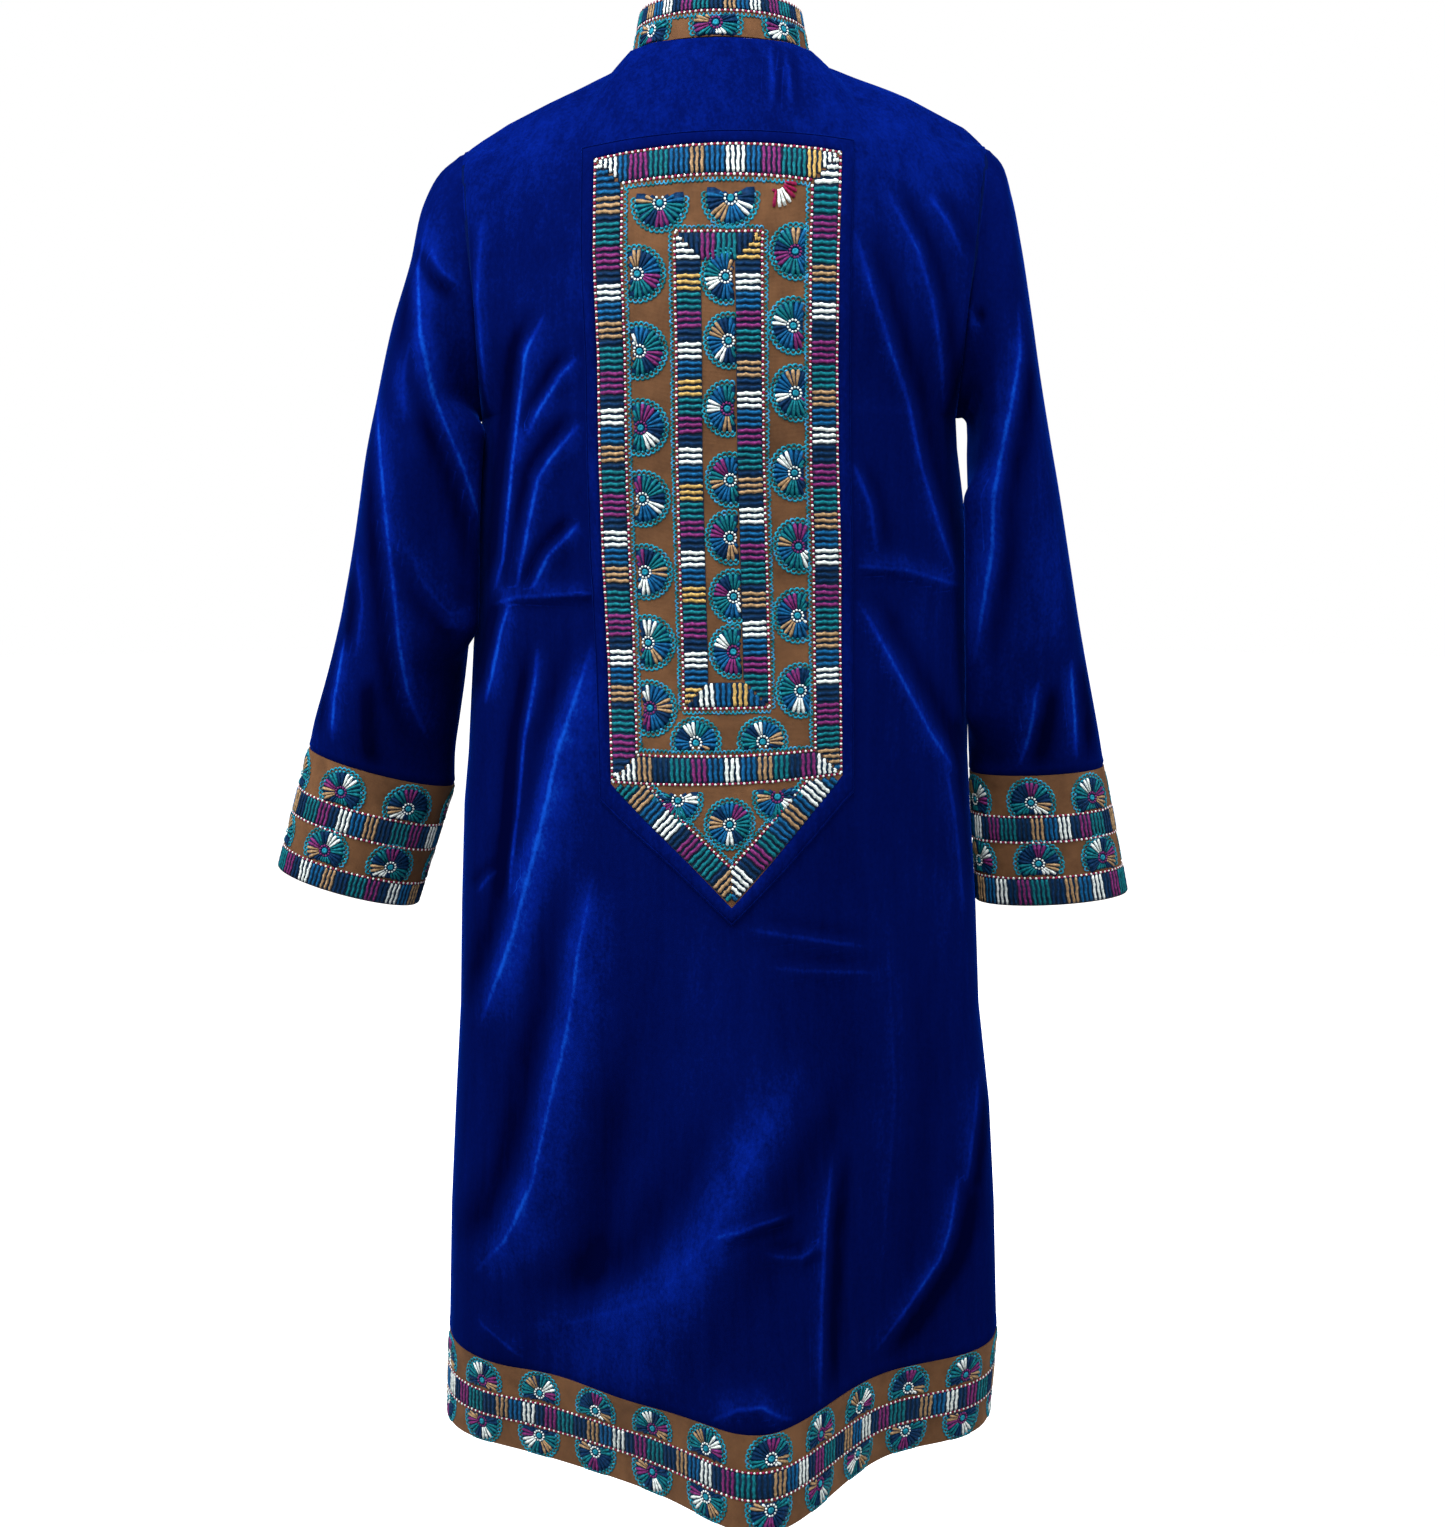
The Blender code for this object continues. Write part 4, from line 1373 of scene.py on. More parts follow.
@dataclass
class Sleeve:
    """One velvet sleeve with its embroidered cuff."""

    form: CoatForm
    shape: SleeveForm
    wardrobe: Wardrobe
    columns: int = 72
    rows: int = 120
    wall: float = 0.0016
    chart: Chart | None = None

    def build(self) -> None:
        """Makes the sleeve and the cuff."""
        word = self.shape.side.name.lower()
        flip = self.shape.side is Side.LEFT
        grid = self.shape.sleeve_grid(self.form, self.columns, self.rows)
        dipped = seam_dip(grid, flip, True, "tb")
        middle = dipped[0].mean(axis=0)
        tuck = dipped[0] + (middle - dipped[0]) * 0.035
        tuck[:, 0] -= 0.0022 * self.shape.side.value
        dipped = np.concatenate([tuck[None], dipped])
        share = np.clip(np.arange(len(dipped)) / 3.0, 0.1, 1.0)[:, None] * np.ones(self.columns)
        piece = cloth_piece(
            f"sleeve_{word}_velvet", dipped, True, flip, self.wall, self.wardrobe.velvet,
            self.shape.painted_sheen_shade(dipped), share,
        )
        declare(piece, f"sleeve_{word}")
        cuff = self.shape.cuff_grid(2 * self.columns, 30)
        self.chart = Chart.of(cuff, True, flip)
        piece = cloth_piece(f"cuff_{word}_cloth", cuff, True, flip, self.wall, self.wardrobe.brown)
        declare(piece, f"cuff_{word}")


@dataclass
class BackPanel:
    """The long pointed panel down the back and the velvet strip round it."""

    form: CoatForm
    wardrobe: Wardrobe
    top_z: float = -0.0915
    arch: float = 0.0055
    foot_z: float = -0.5215
    point: float = 0.0900
    tip_s: float = -0.0030
    strip_width: float = 0.0093
    strip_point: float = 0.0130
    lift: float = 0.0015
    wall: float = 0.0012
    nominal: float = 0.0866
    profile: tuple = (
        (0.0, 0.0008), (0.06, 0.0020), (0.22, 0.0027), (0.45, 0.0029), (0.66, 0.0027),
        (0.78, 0.0023), (0.84, 0.0017), (0.89, 0.0022), (0.95, 0.0017), (1.0, 0.0004),
    )
    lines: tuple = (
        (0.000, 0.0870, 0.0015),
        (-0.0885, 0.0859, 0.0021),
        (-0.156, 0.0850, 0.0033),
        (-0.225, 0.0836, 0.0022),
        (-0.295, 0.0840, 0.0015),
        (-0.365, 0.0846, -0.0006),
        (-0.437, 0.0832, -0.0027),
        (-0.5215, 0.0827, -0.0043),
        (-0.650, 0.0830, -0.0050),
    )
    chart: Chart | None = None

    def make_chart(self) -> Chart:
        """Lays out the cloth under the panel in the panel's own straight-sided measure.

        Returns:
            The chart, read with the distance from the centre line and the distance down.
        """
        half, first, last, spacing = 0.105, 0.060, 0.650, 0.002
        across, down = round(2.0 * half / spacing) + 1, round((last - first) / spacing) + 1
        s, t = np.meshgrid(np.linspace(-half, half, across), np.linspace(first, last, down))
        share = s / self.nominal
        top = ease((0.135 - t) / 0.045) * (0.0052 - 0.0024 * share)
        foot = ease((t - 0.470) / 0.050) * ease((0.590 - t) / 0.050) * (-0.0008 - 0.0027 * share)
        z = -t + top + foot
        x = column(self.lines, z, 2) + share * column(self.lines, z, 1)
        points = np.stack([x, self.form.depth(x, z, Face.BACK), z], axis=-1)
        return Chart(points, grid_normals(points, False, False), s[0], t[:, 0])

    def outline(self, out: float, top: float, tip: float, u: Array, v: Array) -> Array:
        """Chart points inside an outline with a gently arched top and a pointed foot.

        Args:
            out: How far its sides lie outside the panel's.
            top: How far its top lies above the panel's.
            tip: How far its foot lies below the panel's.
            u: Shares across, -1 to 1.
            v: Shares down, 0 to 1.

        Returns:
            s and t, on a new last axis.
        """
        high = -self.top_z - top - self.arch * (1.0 - u ** 2)
        low = -self.foot_z + tip + self.point * (1.0 - np.abs(u))
        t = high + (low - high) * v
        lean = self.tip_s * ease((t + self.foot_z) / self.point)
        return np.stack([u * (self.nominal + out) + lean, t], axis=-1)

    def build(self) -> None:
        """Makes the panel and the strip."""
        self.chart = self.make_chart()
        u, v = np.meshgrid(np.linspace(-1.0, 1.0, 45), np.linspace(0.0, 1.0, 141))
        flat = self.outline(0.0, 0.0, 0.0, u, v)
        grid = self.chart.at(flat[..., 0], flat[..., 1], np.full(u.shape, self.lift))
        piece = cloth_piece("panel_cloth", grid, False, False, self.wall, self.wardrobe.brown)
        declare(piece, "back_panel")
        self.build_strip()

    def build_strip(self) -> None:
        """Makes the strip as one ring, rolled up in the middle and stitched down at its outer edge."""
        corners = ((-1.0, 0.0), (1.0, 0.0), (1.0, 1.0), (0.0, 1.0), (-1.0, 1.0), (-1.0, 0.0))
        counts = (40, 70, 24, 24, 70)
        runs = [np.linspace(a, b, count)[:-1] for a, b, count in zip(corners, corners[1:], counts)]
        loop = np.concatenate(runs)
        inner = self.outline(-0.0004, -0.0004, -0.0004, loop[:, 0], loop[:, 1])
        outer = self.outline(self.strip_width, self.strip_width, self.strip_point, loop[:, 0], loop[:, 1])
        rows = []
        for share, height in self.profile:
            flat = inner + (outer - inner) * share
            rows.append(self.chart.at(flat[:, 0], flat[:, 1], np.full(len(flat), height)))
        grid = np.array(rows)
        piece = cloth_piece("panel_strip_velvet", grid, True, True, 0.0011, self.wardrobe.velvet)
        declare(piece, "panel_frame")


# Stitches


class Bulge(Enum):
    """Way the round side of a half wheel points on a chart: across is s, down is t."""

    PLUS = 0.0
    DOWN = 0.5 * math.pi
    MINUS = math.pi
    UP = -0.5 * math.pi


def colour_run(order: str, count: int, start: int = 0) -> list[Thread]:
    """Thread of each stitch in a row.

    Args:
        order: Groups such as W3 N4, a letter and how many stitches; any before a bar come once only.
        count: Stitches wanted.
        start: Stitches skipped first.

    Returns:
        A thread for each stitch, the order repeated as needed.
    """
    once, _, again = order.rpartition("|")
    first, rest = ([Thread(g[0]) for g in part.split() for _ in range(int(g[1:]))] for part in (once, again))
    return (first + [rest[(start + k) % len(rest)] for k in range(count)])[:count]


@dataclass(frozen=True)
class StitchShape:
    """A stitch modelled once: unit size, Y along its thread, Z off the cloth."""

    vertices: Array
    faces: tuple


class StitchKit:
    """Models every kind of stitch once, for the copies laid on the cloth."""

    def __init__(self) -> None:
        """Models the set."""
        braided = (
            (0.62, 0.0), (1.0, 0.10), (0.74, -0.02), (1.0, -0.12), (0.74, 0.0),
            (1.0, 0.12), (0.74, 0.0), (0.95, -0.08), (0.6, 0.0),
        )
        self.rib = self.model_bar(5, braided)
        self.spoke = self.model_bar(4, ((0.45, 0.0), (0.62, 0.0), (0.95, 0.0), (0.75, 0.0)))
        self.bead = self.model_bead()
        self.picot = self.model_picot()
        self.knot = self.model_knot()
        self.tile = self.model_tile()

    def take(self) -> StitchShape:
        """Reads the active object's finished mesh and removes it.

        Returns:
            The stitch.
        """
        face_outwards()
        bpy.ops.object.transform_apply(location=True, rotation=True, scale=True)
        piece = bpy.context.active_object
        vertices = np.array([v.co[:] for v in piece.data.vertices])
        faces = tuple(tuple(f.vertices) for f in piece.data.polygons)
        bpy.data.objects.remove(piece)
        return StitchShape(vertices, faces)

    def start_upright(self, corners: int, radius: float, place: tuple[float, float, float]) -> None:
        """Adds a filled ring that faces along Y and opens it in edit mode.

        Args:
            corners: Its corners.
            radius: Its radius.
            place: Its centre.
        """
        deselect()
        upright = (math.radians(90.0), 0.0, 0.0)
        bpy.ops.mesh.primitive_circle_add(
            vertices=corners, radius=radius, fill_type="NGON", location=place, rotation=upright
        )
        edit_whole()

    def model_bar(self, corners: int, sections: tuple) -> StitchShape:
        """Bar drawn out section by section.

        Args:
            corners: Corners of its cross-section.
            sections: Width and sideways place of each section after the last.

        Returns:
            The bar, 1 long and 1 wide.
        """
        self.start_upright(corners, 0.5, (0.0, -0.5, 0.0))
        width = sections[0][0]
        bpy.ops.transform.resize(value=(width, 1.0, width))
        step = 1.0 / (len(sections) - 1)
        place = sections[0][1]
        for wide, aside in sections[1:]:
            bpy.ops.mesh.extrude_region_move(TRANSFORM_OT_translate={"value": (aside - place, step, 0.0)})
            bpy.ops.transform.resize(value=(wide / width, 1.0, wide / width))
            width, place = wide, aside
        return self.take()

    def model_bead(self) -> StitchShape:
        """Small seed-like stitch, flat below.

        Returns:
            The bead.
        """
        deselect()
        bpy.ops.mesh.primitive_ico_sphere_add(subdivisions=1, radius=0.5)
        edit_whole()
        bpy.ops.transform.resize(value=(1.0, 1.0, 0.8))
        bpy.ops.transform.translate(value=(0.0, 0.0, 0.15))
        return self.take()

    def model_picot(self) -> StitchShape:
        """Little arch of thread, its feet on the X axis, swelling towards +Y.

        Returns:
            The arch.
        """
        self.start_upright(4, 0.15, (0.5, 0.0, 0.0))
        bpy.ops.mesh.spin(steps=5, angle=math.pi, center=(0.0, 0.0, 0.0), axis=(0.0, 0.0, 1.0))
        shape = self.take()
        if shape.vertices[:, 1].mean() < 0.0:
            shape = StitchShape(shape.vertices * (1.0, -1.0, 1.0), shape.faces)
        return shape

    def model_knot(self) -> StitchShape:
        """Round knot with a dimple, flat below.

        Returns:
            The knot.
        """
        deselect()
        bpy.ops.mesh.primitive_circle_add(vertices=10, radius=0.5, fill_type="NGON")
        edit_whole()
        bpy.ops.mesh.extrude_region_move(TRANSFORM_OT_translate={"value": (0.0, 0.0, 0.28)})
        bpy.ops.mesh.inset(thickness=0.11, depth=0.16)
        bpy.ops.mesh.inset(thickness=0.16, depth=0.0)
        bpy.ops.mesh.inset(thickness=0.10, depth=-0.14)
        return self.take()

    def model_tile(self) -> StitchShape:
        """Thin pad of laid ground thread, its rim eased down.

        Returns:
            The pad.
        """
        deselect()
        bpy.ops.mesh.primitive_plane_add(size=1.0)
        edit_whole()
        bpy.ops.mesh.extrude_region_move(TRANSFORM_OT_translate={"value": (0.0, 0.0, 1.0)})
        return self.take()


@dataclass(frozen=True)
class Band:
    """A straight row of ribs beside a line on a chart, with its rows of beads and arches."""

    start: tuple[float, float]
    end: tuple[float, float]
    colours: str
    skip: int = 0
    side: float = 1.0
    inset: float = 0.0025
    depth: float = 0.0190
    mitre: tuple[float, float] = (1.0, 1.0)
    pitch: float = 0.0042
    bow: float = 0.0
    beads_out: bool = True
    beads_in: bool = True
    arches_in: bool = True
    arches_out: bool = False

    def place(self, along: Array, off: Array) -> tuple[Array, Array]:
        """Chart position of a point on the band.

        Args:
            along: Distance from the start.
            off: Distance off the line.

        Returns:
            s and t.
        """
        a, b = np.array(self.start), np.array(self.end)
        way = (b - a) / self.length
        across = self.side * np.array([-way[1], way[0]])
        lean = off - self.bow * (1.0 - (2.0 * along / self.length - 1.0) ** 2)
        return a[0] + way[0] * along + across[0] * lean, a[1] + way[1] * along + across[1] * lean

    @property
    def length(self) -> float:
        """Length of the line."""
        return math.dist(self.start, self.end)

    @property
    def heading(self) -> float:
        """Angle of the way off the line, into the band."""
        way = (np.array(self.end) - np.array(self.start)) / self.length
        return math.atan2(self.side * way[0], -self.side * way[1])


@dataclass(frozen=True)
class Wheel:
    """A wheel of spokes, cut flat on one side unless flat is large."""

    s: float
    t: float
    bulge: Bulge
    radius: float = 0.0195
    half_height: float = 0.0195
    flat: float = 0.006
    colours: str = "N3 W3 B3 G3 T3 M3 S3 N3"
    start: int = 0
    fences: tuple[tuple[float, float], ...] = ()
    arched: bool = True


@dataclass
class Embroidery:
    """Stitches laid on one chart and joined as one piece."""

    name: str
    chart: Chart
    lift: float
    kit: StitchKit
    wardrobe: Wardrobe
    seed: int = 3
    vertices: list = field(default_factory=list)
    quads: dict = field(default_factory=dict)
    tones: dict = field(default_factory=dict)
    count: int = 0

    def __post_init__(self) -> None:
        """Starts the hand's small unevenness."""
        self.hand = np.random.default_rng(self.seed)

    def lay(
        self, shape: StitchShape, threads: list[Thread] | Thread | None, s: Array, t: Array,
        angle: Array, size: tuple, up: float = 0.0,
    ) -> None:
        """Lays copies of a stitch.

        Args:
            shape: The stitch.
            threads: Its thread or threads; none for the dark ground.
            s: Places across.
            t: Places down.
            angle: Directions of the thread.
            size: Width, length and height, each one number or one a stitch.
            up: Extra height off the cloth.
        """
        s, t, angle = np.broadcast_arrays(np.atleast_1d(s).astype(float), t, angle)
        number = len(s)
        if number == 0:
            return
        wide, long, high = (np.broadcast_to(value, number)[:, None] for value in size)
        local = shape.vertices
        x, y = wide * local[None, :, 0], long * local[None, :, 1]
        c, d = np.cos(angle)[:, None], np.sin(angle)[:, None]
        height = self.lift + up + high * local[None, :, 2]
        points = self.chart.at(s[:, None] + x * d + y * c, t[:, None] - x * c + y * d, height)
        order = list(Thread)
        if threads is None:
            tone = np.full(number, len(order))
        elif isinstance(threads, Thread):
            tone = np.full(number, order.index(threads))
        else:
            tone = np.array([order.index(thread) for thread in threads])
        starts = self.count + len(local) * np.arange(number)
        for corners in sorted({len(face) for face in shape.faces}):
            faces = np.array([face for face in shape.faces if len(face) == corners])
            copies = (starts[:, None, None] + faces[None]).reshape(-1, corners)
            self.quads.setdefault(corners, []).append(copies)
            self.tones.setdefault(corners, []).append(np.repeat(tone, len(faces)))
        self.vertices.append(points.reshape(-1, 3))
        self.count += number * len(local)

    def band(self, band: Band) -> None:
        """Stitches one band: ground, ribs, beads and arches.

        Args:
            band: The band.
        """
        number = max(int(round(band.length / band.pitch)), 1)
        pitch = band.length / number
        along = (np.arange(number) + 0.5) * pitch
        limit = np.full(number, band.inset + band.depth)
        for reach, cut in zip((along, band.length - along), band.mitre):
            if cut > 0.0:
                limit = np.minimum(limit, reach / cut)
        size = limit - band.inset
        keep = size > 0.0016
        threads = [thread for thread, kept in zip(colour_run(band.colours, number, band.skip), keep) if kept]
        along, size = along[keep], size[keep]
        s, t = band.place(along, band.inset + 0.5 * size)
        turn = np.full(len(s), band.heading)
        self.lay(self.kit.tile, None, s, t, turn, (pitch * 1.02, size + 0.0008, 0.0003))
        wobble = self.hand.normal(0.0, 0.025, len(s))
        rib = (pitch * 0.70, size, 0.0019 * pitch / 0.0042)
        self.lay(self.kit.rib, threads, s, t, turn + wobble, rib, 0.0005)
        if band.beads_out:
            self.beads(band, band.inset * 0.5)
        inner = band.inset + band.depth
        if band.beads_in:
            self.beads(band, inner + 0.0013)
            inner += 0.0026
        if band.arches_in:
            self.arches(band, inner + 0.0004, 1.0)
        if band.arches_out:
            self.arches(band, -0.0004, -1.0)

    def span(self, band: Band, off: float, pitch: float) -> Array:
        """Evenly spaced places along a band's line at an offset, between its mitres.

        Args:
            band: The band.
            off: Distance off its line.
            pitch: Spacing wanted.

        Returns:
            Distances along the band.
        """
        low, high = off * band.mitre[0], band.length - off * band.mitre[1]
        number = max(int((high - low) / pitch), 1)
        return low + (np.arange(number) + 0.5) * (high - low) / number

    def beads(self, band: Band, off: float, pitch: float = 0.0021) -> None:
        """Row of bead stitches, light and dark by turns.

        Args:
            band: The band.
            off: Distance off its line.
            pitch: Their spacing.
        """
        along = self.span(band, off, pitch)
        s, t = band.place(along, off + self.hand.normal(0.0, 0.00012, len(along)))
        threads = colour_run("W1 R1", len(along))
        grow = self.hand.uniform(0.9, 1.12, len(along))
        self.lay(self.kit.bead, threads, s, t, band.heading, (0.0019 * grow, 0.0021 * grow, 0.0015), 0.0003)

    def arches(self, band: Band, off: float, way: float, pitch: float = 0.0030) -> None:
        """Row of little arches of light thread.

        Args:
            band: The band.
            off: Distance of their feet off its line.
            way: 1 if they swell away from the line, -1 if towards it.
            pitch: Their spacing.
        """
        along = self.span(band, abs(off), pitch)
        s, t = band.place(along, np.full(len(along), off))
        turn = band.heading + (math.pi if way < 0 else 0.0)
        threads = colour_run("Q3 S2 T2 S3 T1", len(along))
        grow = self.hand.uniform(0.85, 1.15, len(along))
        self.lay(self.kit.picot, threads, s, t, turn, (pitch * 0.98, 0.0044 * grow, 0.0024), 0.0004)

    def wheel(self, wheel: Wheel) -> None:
        """Stitches one wheel: knot, ring of beads, spokes and its arched rim.

        Args:
            wheel: The wheel.
        """
        spokes = 24
        turn = math.tau * (np.arange(spokes) + 0.5) / spokes
        reach = self.rim(wheel, turn)
        threads = colour_run(wheel.colours, spokes, wheel.start)
        shortest, inner = 0.0078, 0.0052
        keep = reach > shortest
        threads = [thread for thread, kept in zip(threads, keep) if kept]
        turn, reach = turn[keep], reach[keep] - 0.0010
        middle = 0.5 * (inner + reach)
        way = wheel.bulge.value + turn + self.hand.normal(0.0, 0.015, len(turn))
        s, t = wheel.s + middle * np.cos(way), wheel.t + middle * np.sin(way)
        if wheel.arched:
            self.ground(wheel)
        wide = 0.0026 + 0.06 * (reach - 0.013)
        self.lay(self.kit.spoke, threads, s, t, way, (wide, reach - inner, 0.0017), 0.0006)
        if not wheel.arched:
            return
        self.hub(wheel)
        number = int(round(math.pi * (wheel.radius + wheel.half_height) / 0.0034))
        around = math.tau * (np.arange(number) + 0.5) / number
        edge = self.rim(wheel, around)
        round_part = edge > self.ellipse(wheel, around) - 1e-6
        around, edge = around[round_part], edge[round_part]
        way = wheel.bulge.value + around
        s, t = wheel.s + edge * np.cos(way), wheel.t + edge * np.sin(way)
        size = math.tau * edge / number
        threads = colour_run("Q5 T2 Q4 S1", len(s), wheel.start)
        self.lay(self.kit.picot, threads, s, t, way, (size * 1.1, 0.0050, 0.0036), 0.0003)
        inside = edge - 0.0007
        s, t = wheel.s + inside * np.cos(way), wheel.t + inside * np.sin(way)
        threads = colour_run("T3 Q3 T2 S1", len(s), wheel.start)
        self.lay(self.kit.bead, threads, s, t, way, (size * 0.9, 0.0022, 0.0014), 0.0002)

    def ground(self, wheel: Wheel) -> None:
        """Fills a wheel with flat dark satin stitches below its spokes.

        Args:
            wheel: The wheel.
        """
        wedges = 16
        turn = math.tau * (np.arange(wedges) + 0.5) / wedges
        reach = self.rim(wheel, turn)
        shortest, inner = 0.0055, 0.0015
        keep = reach > shortest
        turn, reach = turn[keep], reach[keep] - 0.0004
        middle = 0.5 * (inner + reach)
        way = wheel.bulge.value + turn
        s, t = wheel.s + middle * np.cos(way), wheel.t + middle * np.sin(way)
        wide = 2.0 * reach * math.tan(math.pi / wedges) * 1.25
        self.lay(self.kit.spoke, Thread.NAVY, s, t, way, (wide, reach - inner, 0.0008), 0.0001)

    def hub(self, wheel: Wheel) -> None:
        """Stitches the knot and the ring of beads of a wheel.

        Args:
            wheel: The wheel.
        """
        size = (0.0044, 0.0044, 0.0028)
        self.lay(self.kit.knot, Thread.TURQUOISE, np.array([wheel.s]), wheel.t, wheel.bulge.value, size)
        beads, radius = 11, 0.0040
        around = math.tau * (np.arange(beads) + 0.5) / beads
        keep = np.cos(around) * radius > -(wheel.flat - 0.0008)
        way = wheel.bulge.value + around[keep]
        s, t = wheel.s + radius * np.cos(way), wheel.t + radius * np.sin(way)
        tones = ("W1", "W1", "M1", "W1")[wheel.start % 4]
        self.lay(self.kit.bead, colour_run(tones, len(s)), s, t, way, (0.0019, 0.0019, 0.0015), 0.0004)

    def ellipse(self, wheel: Wheel, turn: Array) -> Array:
        """Distance of the uncut rim from the wheel's centre.

        Args:
            wheel: The wheel.
            turn: Angles from the bulge.

        Returns:
            Distances.
        """
        return 1.0 / np.hypot(np.cos(turn) / wheel.radius, np.sin(turn) / wheel.half_height)

    def rim(self, wheel: Wheel, turn: Array) -> Array:
        """Distance of the rim, cut by the flat side, from the wheel's centre.

        Args:
            wheel: The wheel.
            turn: Angles from the bulge.

        Returns:
            Distances.
        """
        reach = self.ellipse(wheel, turn)
        for way, distance in ((math.pi, wheel.flat), *wheel.fences):
            facing = np.cos(turn - way)
            reach = np.where(facing > 1e-6, np.minimum(reach, distance / np.maximum(facing, 1e-6)), reach)
        return reach

    def finish(self) -> Piece:
        """Joins the stitches.

        Returns:
            The piece.
        """
        faces, tones = [], []
        for corners, groups in self.quads.items():
            faces.extend(np.concatenate(groups).tolist())
            tones.append(np.concatenate(self.tones[corners]))
        mesh = bpy.data.meshes.new(self.name)
        mesh.from_pydata(np.concatenate(self.vertices).tolist(), [], faces)
        for thread in Thread:
            mesh.materials.append(self.wardrobe.threads[thread])
        mesh.materials.append(self.wardrobe.ground)
        mesh.polygons.foreach_set("material_index", np.concatenate(tones).astype(np.int32))
        piece = bpy.data.objects.new(self.name, mesh)
        bpy.context.scene.collection.objects.link(piece)
        activate(piece)
        face_outwards()
        mesh.shade_smooth()
        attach(piece, BODY)
        LOG.info("%s: %d faces", piece.name, len(mesh.polygons))
        return piece


